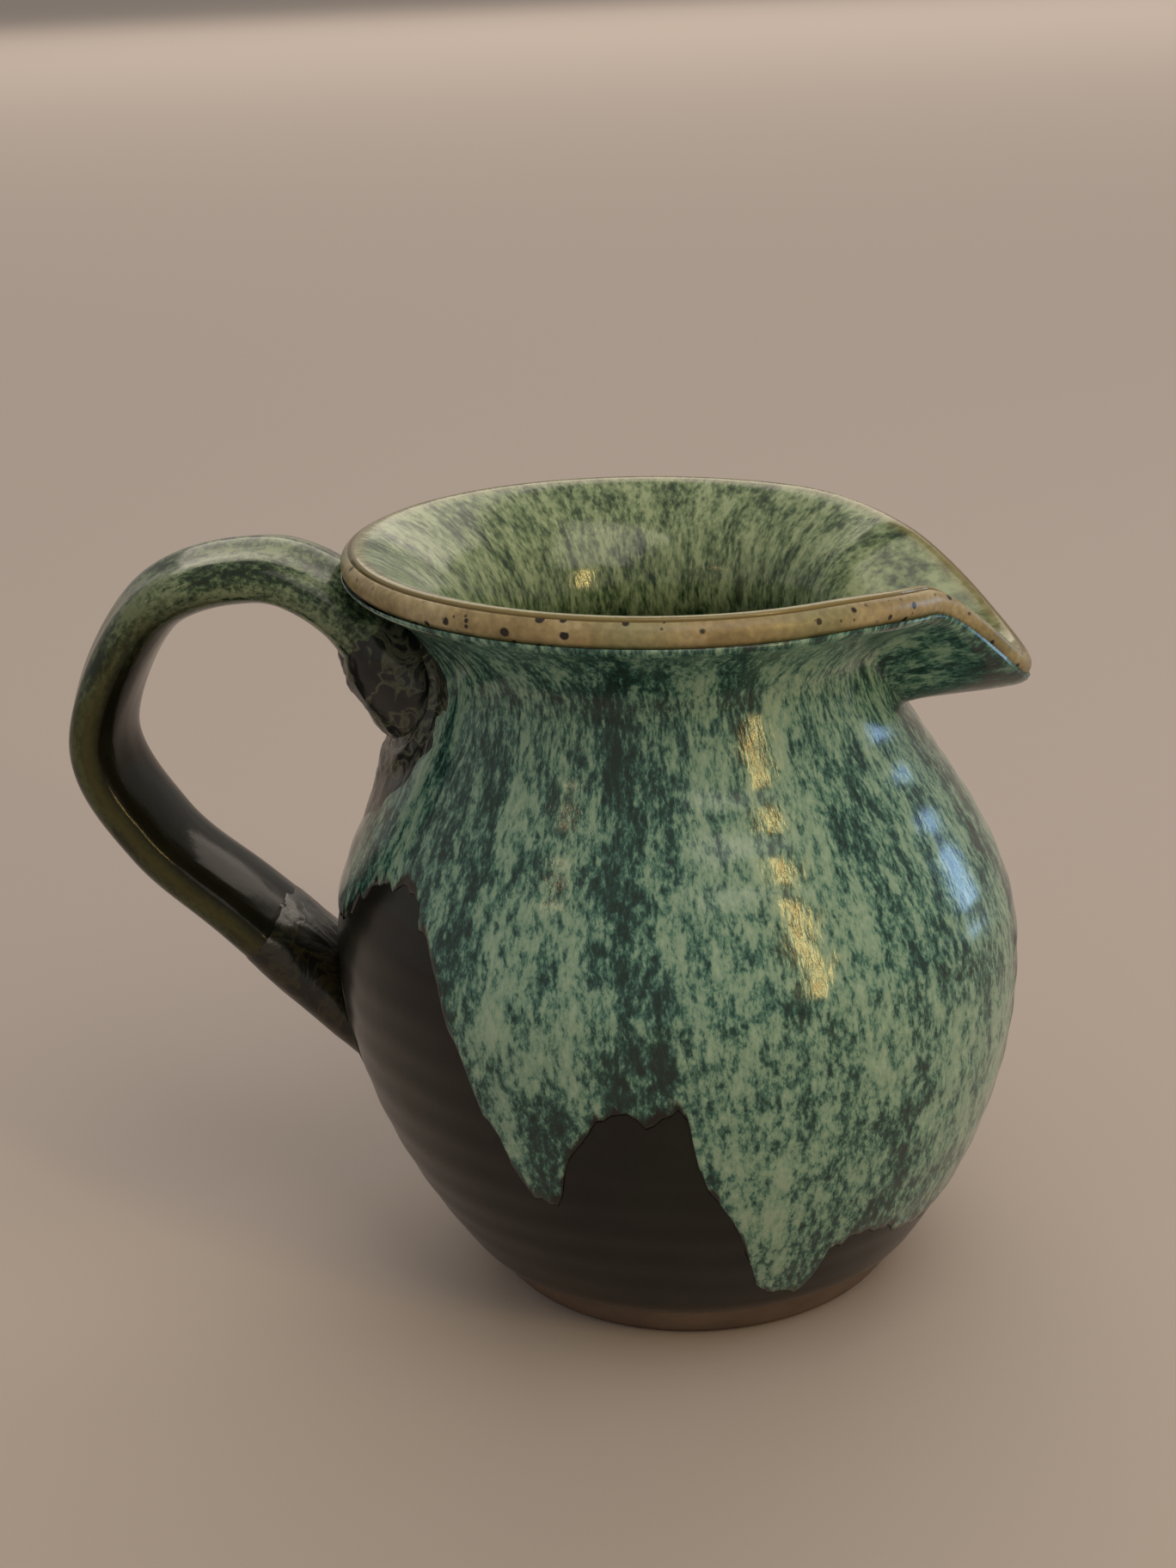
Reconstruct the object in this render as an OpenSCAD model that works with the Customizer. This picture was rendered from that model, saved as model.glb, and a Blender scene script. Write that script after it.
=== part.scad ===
// Hand-thrown stoneware pitcher with a pulled spout, a pulled strap handle and poured glazes.
// Frame: millimetres, +Z up, origin at the centre of the foot on the surface that it stands on.
// The spout points along +X and the handle along -X.

/* [Thrown body] */
// Height of the middle of the lip, halfway between spout and handle
rim_h = 122.5; // [116:0.5:150]
// Radius from the axis to the middle of the lip, away from the spout
rim_r = 46.7; // [40:0.1:58]
// How much the rim falls from the handle side to the spout side
rim_drop = 3; // [0:0.5:8]
// How far the rim sags over the wide arc either side of the spout
rim_sag = 4; // [0:0.5:6]
// Outside radius of the belly at its widest
belly_r = 56; // [46:0.5:68]
// Height of the widest place
belly_h = 57; // [48:0.5:66]
// Outside radius of the neck where the flare starts from
neck_r = 34.5; // [28:0.5:42]
// Outside radius of the foot
foot_r = 33.6; // [26:0.1:42]
// Thickness of the wall
wall = 5; // [3.5:0.1:6.5]
// Thickness of the lip, which is also the diameter of its rounding
lip_t = 4.6; // [3:0.1:6]
// Slope of the flared rim where it reaches the lip, in degrees
lip_slope = 22; // [5:1:50]
// Tilt of the axis towards the handle, in degrees
lean = 1.95; // [0:0.05:4]

/* [Foot] */
// Width of the flat ring that the pitcher stands on
foot_w = 6; // [4:0.5:10]
// Depth of the turned recess inside the foot ring
recess = 2.5; // [1:0.1:4]
// Thickness of the floor above the recess
floor_t = 5; // [3.5:0.1:8]

/* [Spout] */
// How far the spout's lip stands out past the round rim
spout_reach = 11.4; // [4:0.1:16]
// How far the spout's lip is pulled down
spout_dip = 14; // [4:0.5:18]
// Half of the spout's width, in degrees around the axis
spout_half = 29; // [20:1:40]
// Angle that the spout stands off the handle's plane, in degrees
spout_turn = 4; // [-8:0.5:8]
// How much lower the flare starts under the spout
spout_root = 8; // [4:0.5:12]

/* [Handle] */
// How far the back of the handle stands out past the belly
handle_out = 42.3; // [34:0.5:56]
// How far the top of the handle rises past the middle of the lip
handle_rise = 3.2; // [-4:0.5:10]
// Width of the strap in the grip
strap_w = 22; // [16:0.5:30]
// Thickness of the strap in the grip
strap_t = 9; // [6:0.1:12]

/* [Glaze] */
// Thickness of the dark glaze that the outside is dipped in
base_t = 0.5; // [0.3:0.05:0.8]
// Thickness of the green glaze that runs over it
float_t = 0.5; // [0.3:0.05:0.8]
// Thickness of the glaze poured inside
liner_t = 0.5; // [0.3:0.05:0.8]
// Height of the wiped edge of the dark glaze above the table
glaze_line = 7; // [5:0.5:12]

/* [Hidden] */

// The wall is a grid: columns run round the pot from the spout, rows run up it from the foot.
cols = 48;
belly_rows = 12;
neck_rows = 3;
flare_rows = 8;
top_row = belly_rows + neck_rows + flare_rows;
neck_row = belly_rows + neck_rows;
handle_col = cols / 2;

// Heights that the rows are shared out between. The neck is narrowest at neck_h.
shoulder_h = 84;
flare_h = 105;
neck_h = 113;
// Above 1 keeps the shoulder full for longer before it turns in to the neck.
shoulder_fullness = 1.07;

function angle(j) = 360 * j / cols;
function turned(a) = a > 180 ? a - 360 : a;
function bell(a, half, flat = 1) = abs(a) >= half ? 0 : (1 + cos(180 * pow(abs(a) / half, flat))) / 2;
function mix(a, b, t) = a + (b - a) * t;
function smooth(t) = t * t * (3 - 2 * t);
function unit(v) = v / norm(v);

// --- Profile: outside radius of the round pot at a height ---
function belly_low(z) = belly_r - (belly_r - foot_r) * pow(1 - z / belly_h, 2);
function belly_high(z) =
    let (u = pow((z - belly_h) / (neck_h - belly_h), shoulder_fullness))
    neck_r + (belly_r - neck_r) * (1 + cos(180 * min(u, 1))) / 2;
function pot_r(z) = z < belly_h ? belly_low(z) : belly_high(z);

// --- Lip and flare at an angle round the pot, in the plane [radius, height] ---
// The rim sags over a wide arc, and the spout is pulled out and down from the middle of it.
sag_half = 2 * spout_half;
spout_flat = 1.2;
spout_vee = 1.25;
function from_spout(a) = turned(a) - spout_turn;
function reach(a) = bell(from_spout(a), spout_half, spout_flat);
function pull(a) = pow(reach(a), spout_vee);
function lip(a) = [
    rim_r + spout_reach * reach(a),
    rim_h - rim_drop / 2 * cos(a) - spout_dip * pull(a) - rim_sag * bell(from_spout(a), sag_half)
];
function flare_start(a) =
    let (z = flare_h - spout_root * pull(a))
    [pot_r(z) - wall / 2, z];
// The flare leaves the neck along the neck's own slope and meets the lip at lip_slope. Each pair
// gives a value at the round rim and at the tip of the spout.
flare_rise = [8, 5];
flare_run = [7, 10];
flare_slope = [lip_slope, lip_slope - 10];
function at_spout(pair, a) = mix(pair[0], pair[1], pull(a));
function flare_bezier(a) =
    let (p0 = flare_start(a), p3 = lip(a), step = 1, slope = at_spout(flare_slope, a),
         lean_in = unit([pot_r(p0.y + step) - pot_r(p0.y), step]))
    [p0, p0 + at_spout(flare_rise, a) * lean_in, p3 - at_spout(flare_run, a) * [cos(slope), sin(slope)], p3];
function on_bezier(b, t) =
    pow(1 - t, 3) * b[0] + 3 * pow(1 - t, 2) * t * b[1] + 3 * (1 - t) * t * t * b[2] + pow(t, 3) * b[3];
function along_bezier(b, t) =
    unit(pow(1 - t, 2) * (b[1] - b[0]) + 2 * (1 - t) * t * (b[2] - b[1]) + t * t * (b[3] - b[2]));

// Middle of the wall in one row, and its outward normal, both in [radius, height].
function wall_mid(i, a) =
    i <= belly_rows ? let (z = shoulder_h * i / belly_rows) [pot_r(z) - wall / 2, z] :
    i <= neck_row ? let (z = mix(shoulder_h, flare_start(a).y, (i - belly_rows) / neck_rows))
        [pot_r(z) - wall / 2, z] :
    on_bezier(flare_bezier(a), (i - neck_row) / flare_rows);
function wall_normal(i, a) =
    i <= neck_row ? [1, 0] :
    let (d = along_bezier(flare_bezier(a), (i - neck_row) / flare_rows)) [d.y, -d.x];
function half_wall(i) = mix(wall, lip_t, max(0, (i - neck_row) / flare_rows)) / 2;

// Turns [radius, height] at an angle into a point of the leaning pot.
function place(q, a) = [q.x * cos(a) - tan(lean) * q.y, q.x * sin(a), q.y];
function outer_q(i, a) = wall_mid(i, a) + half_wall(i) * wall_normal(i, a);
function inner_q(i, a) = wall_mid(i, a) - half_wall(i) * wall_normal(i, a);
function outer(i, j, off = 0) =
    let (a = angle(j), up = min(i + 0.5, top_row), down = max(i - 0.5, 0),
         d = outer_q(up, a) - outer_q(down, a))
    place(outer_q(i, a) + off * unit([d.y, -d.x]), a);
function inner(i, j, off = 0) =
    let (a = angle(j), up = min(i + 0.5, top_row), down = max(i - 0.5, 0),
         d = inner_q(up, a) - inner_q(down, a))
    place(inner_q(i, a) + off * unit([-d.y, d.x]), a);

// --- Solids from grids ---
// A closed solid from rings of points, with a point that closes each end.
module lofted(rings, first, last) {
    n = len(rings[0]);
    m = len(rings);
    points = concat([for (r = rings) for (p = r) p], [first, last]);
    sides = [for (i = [0 : m - 2]) for (j = [0 : n - 1])
        let (a = i * n + j, b = i * n + (j + 1) % n, c = b + n, d = a + n) each [[a, c, b], [a, d, c]]];
    ends = [for (j = [0 : n - 1])
        let (k = (j + 1) % n) each [[m * n, j, k], [m * n + 1, (m - 1) * n + k, (m - 1) * n + j]]];
    polyhedron(points, concat(sides, ends));
}

// A closed coat between two grids of the same size. low[j] is the lowest row of column j, and
// hole = [first row, last row, columns each side of the handle] is left open.
function in_hole(i, j, holes) =
    len([for (h = holes) if (i >= h[0] && i < h[1] && j >= handle_col - h[2] && j < handle_col + h[2]) 1]) > 0;
module coat(under, over, low, holes = []) {
    m = len(under);
    function id(i, j) = max(i, low[j % cols]) * cols + j % cols;
    function on(i, j) = i >= 0 && i < m - 1 && !in_hole(i, (j + cols) % cols, holes);
    function split(a, b, c, d) = a == d && b == c ? [] :
        a == d ? [[a, b, c]] :
        b == c ? [[a, b, d]] :
        [[a, b, c], [a, c, d]];
    top = m * cols;
    points = concat([for (r = under) for (p = r) p], [for (r = over) for (p = r) p]);
    cells = [for (i = [0 : m - 2]) for (j = [0 : cols - 1]) if (on(i, j)) [i, j]];
    skins = [for (c = cells)
        for (f = split(id(c[0], c[1]), id(c[0], c[1] + 1), id(c[0] + 1, c[1] + 1), id(c[0] + 1, c[1])))
            each [f, [f[2] + top, f[1] + top, f[0] + top]]];
    // Walls stand on the top edge, the lower edge and round each hole.
    rim = [for (j = [0 : cols - 1]) each band(id(m - 1, j), id(m - 1, j + 1), top)];
    hem = [for (j = [0 : cols - 1]) each band(id(0, j + 1), id(0, j), top)];
    gaps = [for (h = holes) let (c0 = handle_col - h[2], c1 = handle_col + h[2]) each concat(
        [for (j = [c0 : c1 - 1]) each concat(band(id(h[0], j), id(h[0], j + 1), top),
                                             band(id(h[1], j + 1), id(h[1], j), top))],
        [for (i = [h[0] : h[1] - 1]) each concat(band(id(i + 1, c0), id(i, c0), top),
                                                 band(id(i, c1), id(i + 1, c1), top))])];
    polyhedron(points, concat(skins, rim, hem, gaps));
}
function band(a, b, top) = [[a, b, b + top], [a, b + top, a + top]];

// A closed solid between two open grids of the same size, such as a pad of clay.
module pad(under, over) {
    m = len(under);
    n = len(under[0]);
    top = m * n;
    skins = [for (i = [0 : m - 2]) for (j = [0 : n - 2])
        let (a = i * n + j, b = a + 1, c = a + n + 1, d = a + n)
        each [[a, b, c], [a, c, d], [c + top, b + top, a + top], [d + top, c + top, a + top]]];
    ends = [for (j = [0 : n - 2])
        each concat(band(j + 1, j, top), band((m - 1) * n + j, (m - 1) * n + j + 1, top))];
    sides = [for (i = [0 : m - 2])
        each concat(band(i * n, (i + 1) * n, top), band((i + 2) * n - 1, (i + 1) * n - 1, top))];
    polyhedron([for (g = [under, over]) for (r = g) for (p = r) p], concat(skins, ends, sides));
}

// --- Thrown body ---
function ring(q) = [for (j = [0 : cols - 1]) place(q, angle(j))];
function lip_ring(t) = [for (j = [0 : cols - 1])
    let (a = angle(j), n = wall_normal(top_row, a), d = [-n.y, n.x])
    place(wall_mid(top_row, a) + lip_t / 2 * (cos(t) * n + sin(t) * d), a)];
// The floor inside is flat, and curves up into the wall by the first row of the inside.
floor_z = recess + floor_t;
inside_row = 2;
floor_rings = [[foot_r - 1, floor_z + 1.6], [foot_r - 9, floor_z + 0.3]];
// The recess is turned with a tool held on a slant, and the cut starts below the foot.
recess_slope = 0.8;
below = 1;

module thrown_body() {
    out_rings = [for (i = [0 : top_row]) [for (j = [0 : cols - 1]) outer(i, j)]];
    lip_rings = [for (t = [45, 90, 135]) lip_ring(t)];
    in_rings = [for (i = [top_row : -1 : inside_row]) [for (j = [0 : cols - 1]) inner(i, j)]];
    color("#8a6a4c") difference() {
        lofted(concat(out_rings, lip_rings, in_rings, [for (q = floor_rings) ring(q)]),
               [0, 0, 0], place([0, floor_z], 0));
        translate([0, 0, -below])
            cylinder(h = recess + below, r1 = foot_r - foot_w + below * recess_slope,
                     r2 = foot_r - foot_w - recess * recess_slope);
    }
}

// --- Glaze coats ---
// Row and share of the way to the next row at which a coat stops, at a height on a column.
function edge_row(z) = floor(belly_rows * z / shoulder_h);
function edge_share(z) = min(belly_rows * z / shoulder_h - edge_row(z), 0.85);
function coat_point(i, j, off, z) =
    i == edge_row(z) ? mix(outer(i, j, off), outer(i + 1, j, off), edge_share(z)) : outer(i, j, off);
function coat_grid(off, edge) = [for (i = [0 : top_row])
    [for (j = [0 : cols - 1]) coat_point(i, j, off, edge[j])]];
function low_rows(edge) = [for (z = edge) edge_row(z)];

base_edge = [for (j = [0 : cols - 1]) glaze_line];

// Rows and columns that each clay joint covers: [first row, last row, columns each side].
upper_pad = [10, top_row - 1, 3];
lower_pad = [4, 9, 3];

// The green glaze stops at a level that rises towards the handle, and runs down in drips. Each drip
// is [angle round the pot, length, half width in degrees]. Behind the handle it stops halfway
// between the two joints.
float_h = 52;
float_lift = 24;
lift_half = 66;
lift_flat = 4;
drips = [[-110, 19, 12], [-66, 40, 24], [-38, 35, 44], [-12, 26, 20], [16, 32, 18], [48, 22, 16],
         [80, 36, 20], [112, 20, 14]];
function float_level(a) = float_h + float_lift * bell(180 - abs(turned(a)), lift_half, lift_flat);
function float_edge(j) =
    abs(j - handle_col) <= upper_pad[2] ? shoulder_h * mix(lower_pad[1], upper_pad[0], 0.5) / belly_rows :
    float_level(angle(j)) - max([for (d = drips) d[1] * bell(turned(angle(j)) - d[0], d[2])]);
drip_edge = [for (j = [0 : cols - 1]) float_edge(j)];

module base_glaze()
    color("#2b241f")
        coat(coat_grid(0, base_edge), coat_grid(base_t, base_edge), low_rows(base_edge),
             [upper_pad, lower_pad]);

module floating_glaze()
    color("#6f9686")
        coat(coat_grid(base_t, drip_edge), coat_grid(base_t + float_t, drip_edge), low_rows(drip_edge),
             [upper_pad]);

function reversed(v) = [for (i = [len(v) - 1 : -1 : 0]) v[i]];
module liner_glaze() {
    function floor_ring(q, off) = ring([q.x - off * 0.3, q.y + off]);
    over = concat([for (q = [floor_rings[1], floor_rings[0]]) floor_ring(q, liner_t)],
                  [for (i = [inside_row : top_row]) [for (j = [0 : cols - 1]) inner(i, j, liner_t)]]);
    under = concat([for (i = [top_row : -1 : inside_row]) [for (j = [0 : cols - 1]) inner(i, j)]],
                   [for (q = floor_rings) ring(q)]);
    color("#93a884")
        lofted(concat(reversed(under), reversed(over)),
               place([0, floor_z], 0), place([0, floor_z + liner_t], 0));
}

// --- Clay joints ---
// Each joint is a pad of clay smoothed onto the wall. Its edges are level with the glaze round it.
pad_t = 2;
pad_edge = 0.6;
// The upper joint is drawn down the shoulder as a wedge, thickest where the handle's root starts.
wedge_t = 5.5;
root_row = 13;
wedge_rows = 3;
function across(j) = abs(j - handle_col) < half_cols ? 1 : pad_edge;
function wedge(i) = i <= root_row ? wedge_t * smooth((i - upper_pad[0]) / (root_row - upper_pad[0])) :
    mix(wedge_t, pad_t, smooth(min((i - root_row) / wedge_rows, 1)));
function on_border(p, i, j) = i == p[0] || i == p[1] || abs(j - handle_col) == p[2];
function upper_top(i, j) =
    on_border(upper_pad, i, j) ? base_t + float_t : max(base_t + float_t, wedge(i) * across(j));
function lower_top(i, j) = on_border(lower_pad, i, j) ? base_t : pad_t * across(j);
function patch(p, f) = [for (i = [p[0] : p[1]]) [for (j = [handle_col - p[2] : handle_col + p[2]])
    outer(i, j, f(i, j))]];
flush = function(i, j) 0;

module upper_joint()
    color("#4a443a") pad(patch(upper_pad, flush), patch(upper_pad, function(i, j) upper_top(i, j)));

module lower_joint()
    color("#3a342b") pad(patch(lower_pad, flush), patch(lower_pad, function(i, j) lower_top(i, j)));

// --- Handle ---
// The strap is a loft whose two ends lie on the joints. Its sections have 24 points, laid out like
// the border of a patch 4 cells wide and 8 cells tall.
half_cols = 2;
side = 8;
wide = 2 * half_cols;
ring_n = 2 * (side + wide);
upper_cap = [for (r = [0 : side]) [for (c = [0 : wide])
    let (i = root_row + r, j = handle_col - half_cols + c) outer(i, j, upper_top(i, j))]];
// The tail covers three rows of the belly, from the row below the pad's edge down.
tail_rows = 3;
tail_row = lower_pad[1] - 1;
function tail_point(i, j) =
    let (low = floor(i), high = ceil(i))
    mix(outer(low, j, lower_top(low, j)), outer(high, j, lower_top(high, j)), i - low);
lower_cap = [for (r = [0 : side]) [for (c = [0 : wide])
    tail_point(tail_row - tail_rows * r / side, handle_col - half_cols + c)]];
function border(k) = k < wide ? [0, k] :
    k < wide + side ? [k - wide, wide] :
    k < 2 * wide + side ? [side, 2 * wide + side - k] : [ring_n - k, 0];
function section_angle(k) = k < wide ? -45 - 90 * k / wide :
    k < wide + side ? -135 - 90 * (k - wide) / side :
    k < 2 * wide + side ? -225 - 90 * (k - wide - side) / wide : -315 - 90 * (k - 2 * wide - side) / side;

function mean(g) = [for (i = [0 : 2]) (g[0][0][i] + g[0][wide][i] + g[side][0][i] + g[side][wide][i]) / 4];
root = mean(upper_cap);
tail = mean(lower_cap);
// Centre line of the strap: up out of the root, over the crown, down the back and in to the tail.
back_x = -(belly_r + handle_out) - tan(lean) * shoulder_h + strap_t / 2;
crown_z = rim_h + handle_rise - strap_t / 2;
// However tall the pot is, the strap comes in to the tail at the same slant, clear of the joint.
tail_rise = 17;
path = [
    [root.x, 0, root.z],
    [root.x - 10, 0, crown_z - 6],
    [mix(root.x, back_x, 0.445), 0, crown_z],
    [mix(root.x, back_x, 0.79), 0, crown_z - 5.6],
    [back_x, 0, mix(tail.z, crown_z, 0.64)],
    [back_x + 7.7, 0, mix(tail.z, crown_z, 0.405)],
    [mix(tail.x, back_x, 0.45), 0, tail.z + tail_rise],
    [tail.x, 0, tail.z]
];
stations = 26;
function path_at(u) =
    let (n = len(path) - 1, i = min(floor(u * n), n - 1), t = u * n - i,
         p0 = path[max(i - 1, 0)], p1 = path[i], p2 = path[i + 1], p3 = path[min(i + 2, n)])
    0.5 * (2 * p1 + t * (p2 - p0) + t * t * (2 * p0 - 5 * p1 + 4 * p2 - p3)
        + t * t * t * (3 * p1 - p0 - 3 * p2 + p3));
function path_dir(u) = unit(path_at(min(u + 0.01, 1)) - path_at(max(u - 0.01, 0)));
function power(x, e) = x < 0 ? -pow(-x, e) : pow(x, e);
// What the strap gains in width and thickness at the root and at the tail, and the share of its
// length that the gain takes.
root_gain = [2, 12];
root_share = 0.2;
tail_gain = [5, 2];
tail_share = 0.25;
function gained(size, e, u) = size + root_gain[e] * pow(max(1 - u / root_share, 0), 2)
    + tail_gain[e] * pow(max(1 - (1 - u) / tail_share, 0), 2);
squareness = 0.75;
function section_point(u, k) =
    let (d = path_dir(u), n = [d.z, 0, -d.x], a = section_angle(k))
    path_at(u) + gained(strap_w, 0, u) / 2 * power(cos(a), squareness) * [0, 1, 0]
        + gained(strap_t, 1, u) / 2 * power(sin(a), squareness) * n;
// Shares of the length over which the strap spreads out onto the joints.
root_blend = 0.14;
tail_blend = 0.06;
function handle_point(u, k) =
    let (q = section_point(u, k), b = border(k))
    u < root_blend ? mix(upper_cap[b[0]][b[1]] + path_at(u) - path_at(0), q, smooth(u / root_blend)) :
    u > 1 - tail_blend ? mix(lower_cap[b[0]][b[1]] + path_at(u) - path_at(1), q, smooth((1 - u) / tail_blend)) :
    q;

module handle() {
    cap_n = (side + 1) * (wide + 1);
    function id(s, k) = let (b = border(k % ring_n), c = b[0] * (wide + 1) + b[1])
        s == 0 ? c : s == stations ? cap_n + c : 2 * cap_n + (s - 1) * ring_n + k % ring_n;
    points = concat([for (g = [upper_cap, lower_cap]) for (r = g) for (p = r) p],
                    [for (s = [1 : stations - 1]) for (k = [0 : ring_n - 1]) handle_point(s / stations, k)]);
    strap = [for (s = [0 : stations - 1]) for (k = [0 : ring_n - 1])
        let (a = id(s, k), b = id(s, k + 1), c = id(s + 1, k + 1), d = id(s + 1, k))
        each [[a, c, b], [a, d, c]]];
    caps = [for (r = [0 : side - 1]) for (q = [0 : wide - 1])
        let (a = r * (wide + 1) + q, b = a + 1, c = a + wide + 2, d = a + wide + 1, e = cap_n)
        each [[a, b, c], [a, c, d], [a + e, c + e, b + e], [a + e, d + e, c + e]]];
    color("#5c6a4c") polyhedron(points, concat(strap, caps));
}

// The glaze runs between these stations, short of both joints.
glaze_from = 3;
glaze_to = stations - 2;
module handle_glaze() {
    rows = glaze_to - glaze_from + 1;
    inside = [for (s = [glaze_from : glaze_to]) [for (k = [0 : ring_n - 1]) handle_point(s / stations, k)]];
    outside = [for (s = [glaze_from : glaze_to]) [for (k = [0 : ring_n - 1])
        let (p = handle_point(s / stations, k), c = path_at(s / stations), v = p - c)
        p + base_t * unit(v)]];
    top = rows * ring_n;
    skins = [for (s = [0 : rows - 2]) for (k = [0 : ring_n - 1])
        let (a = s * ring_n + k, b = s * ring_n + (k + 1) % ring_n, c = b + ring_n, d = a + ring_n)
        each [[a, b, c], [a, c, d], [c + top, b + top, a + top], [d + top, c + top, a + top]]];
    ends = [for (k = [0 : ring_n - 1]) let (n = (k + 1) % ring_n, e = (rows - 1) * ring_n)
        each concat(band(n, k, top), band(e + k, e + n, top))];
    color("#4d6350") polyhedron([for (g = [inside, outside]) for (r = g) for (p = r) p], concat(skins, ends));
}

thrown_body();
handle();
upper_joint();
lower_joint();
base_glaze();
floating_glaze();
liner_glaze();
handle_glaze();
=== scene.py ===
import math

import bpy
import bmesh
import numpy as np
from mathutils import Matrix, Vector, noise
from mathutils.bvhtree import BVHTree


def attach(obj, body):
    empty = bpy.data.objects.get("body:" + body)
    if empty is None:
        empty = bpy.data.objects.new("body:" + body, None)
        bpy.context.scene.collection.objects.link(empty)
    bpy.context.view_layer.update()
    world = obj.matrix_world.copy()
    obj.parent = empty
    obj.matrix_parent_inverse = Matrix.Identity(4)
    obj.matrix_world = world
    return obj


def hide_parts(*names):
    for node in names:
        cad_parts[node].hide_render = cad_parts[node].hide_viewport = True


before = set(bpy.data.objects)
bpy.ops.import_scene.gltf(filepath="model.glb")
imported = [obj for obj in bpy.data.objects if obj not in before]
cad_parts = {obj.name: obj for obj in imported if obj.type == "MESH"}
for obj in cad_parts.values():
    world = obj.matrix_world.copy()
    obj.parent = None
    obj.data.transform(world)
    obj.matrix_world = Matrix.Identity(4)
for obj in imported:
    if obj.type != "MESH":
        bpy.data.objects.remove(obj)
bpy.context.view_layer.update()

# Hand-thrown stoneware pitcher. Lengths are in millimetres until they become points; mm turns them
# into metres. The frame is the part's own: foot on z = 0, spout along +X, handle along -X.

# --- Where it stands -------------------------------------------------------------------------
# The pitcher stands on a plain pale table, and a camera looks down at it from above the rim. A broad
# softbox hangs over it and a larger one over the far table. A small warm lamp stands in front at each
# side, and a cool window lies behind on the right.
mm = 0.001
scene = bpy.context.scene
scene.view_settings.view_transform = "Standard"


def colour(code):
    """A hex colour as the linear values that a socket takes."""
    shares = [int(code[i:i + 2], 16) / 255 for i in (1, 3, 5)]
    return [c / 12.92 if c <= 0.04045 else ((c + 0.055) / 1.055) ** 2.4 for c in shares] + [1]


def new_finish(name):
    """A new material, its node tree and its shader."""
    finish = bpy.data.materials.new(name)
    finish.use_nodes = True
    return finish, finish.node_tree, finish.node_tree.nodes["Principled BSDF"]


eye = Vector((25.61, -366.26, 213.81)) * mm
heading, down, roll = map(math.radians, (-6.41, 19.464, -2.58))
ahead = Vector((math.sin(heading) * math.cos(down), math.cos(heading) * math.cos(down), -math.sin(down)))
level = ahead.cross(Vector((0, 0, 1))).normalized()
over = level.cross(ahead)
camera = bpy.data.objects.new("camera", bpy.data.cameras.new("camera"))
camera.data.lens, camera.data.sensor_width = 54.08, 36
camera.data.clip_start, camera.data.clip_end = 0.01, 200
camera.matrix_world = Matrix.Translation(eye) @ Matrix((
    level * math.cos(roll) + over * math.sin(roll),
    over * math.cos(roll) - level * math.sin(roll), -ahead)).transposed().to_4x4()
scene.collection.objects.link(camera)
scene.camera = camera

# Matt cream paint: an even, pale surface with no shine.
table_paint, _, shader = new_finish("matt_cream_paint")
shader.inputs["Roughness"].default_value = 0.9
shader.inputs["Base Color"].default_value = colour("#b9aea8")
floor_mesh = bpy.data.meshes.new("table")
floor_mesh.from_pydata([(-60, -60, 0), (60, -60, 0), (60, 60, 0), (-60, 60, 0)], [], [(0, 1, 2, 3)])
floor_mesh.materials.append(table_paint)
floor = bpy.data.objects.new("table", floor_mesh)
scene.collection.objects.link(floor)

scene.world = bpy.data.worlds.new("room")
scene.world.use_nodes = True
room = scene.world.node_tree.nodes["Background"]
room.inputs["Color"].default_value = colour("#f3ebe0")
room.inputs["Strength"].default_value = 0.45

# Each lamp: name, colour, power in watts, width and height, where it stands and what it is aimed at.
lamps = [("ceiling_softbox", "#fff4e6", 5.2, 1000, 1000, (500, -500, 1300), (0, 0, 70)),
         ("far_softbox", "#fff1e0", 270, 9000, 6000, (0, 6500, 4200), (0, 5000, 0)),
         ("warm_lamp_right", "#ffd983", 1.3, 30, 400, (597, -501, 400), (0, 0, 70)),
         ("warm_lamp_left", "#ffd9a0", 0.07, 20, 26, (-486, -580, 560), (0, 0, 70)),
         ("cool_window", "#a9cdf5", 0.7, 150, 230, (780, 440, 140), (0, 0, 70))]
for name, tint, power, width, height, place, aim in lamps:
    lamp = bpy.data.lights.new(name, "AREA")
    lamp.shape, lamp.size, lamp.size_y = "RECTANGLE", width * mm, height * mm
    lamp.energy, lamp.color = power, colour(tint)[:3]
    stand = bpy.data.objects.new(name, lamp)
    stand.location = Vector(place) * mm
    stand.rotation_euler = (Vector(aim) * mm - stand.location).to_track_quat("-Z", "Y").to_euler()
    stand.visible_camera = False
    scene.collection.objects.link(stand)

# --- Thrown body -----------------------------------------------------------------------------
# One lump of iron-bearing stoneware clay, thrown on the wheel: foot, full belly, narrow neck and
# flared rim. The spout is the same wall, pulled out and down with a finger while it was soft. The
# foot ring is turned afterwards, and the fingers leave a spiral of shallow rings up the wall.
rim_height, rim_radius, rim_drop, rim_sag = 122.5, 46.7, 3, 4
belly_radius, belly_height, neck_radius, neck_height, fullness = 56, 57, 34.5, 113, 1.07
foot_radius, foot_ring, recess, floor_height = 33.6, 6, 2.5, 7.5
wall, lip, lip_slope, lean = 5, 4.6, 22, 1.95
shoulder_height, flare_height = 84, 105
spout_reach, spout_dip, spout_half, spout_turn, spout_root = 11.4, 14, 29, 4, 8


def pot_radius(z):
    """Outside radius of the round pot at a height."""
    low = belly_radius - (belly_radius - foot_radius) * (1 - z / belly_height) ** 2
    turn = np.clip((z - belly_height) / (neck_height - belly_height), 0, 1) ** fullness
    high = neck_radius + (belly_radius - neck_radius) * (1 + np.cos(np.pi * turn)) / 2
    return np.where(z < belly_height, low, high)


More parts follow.
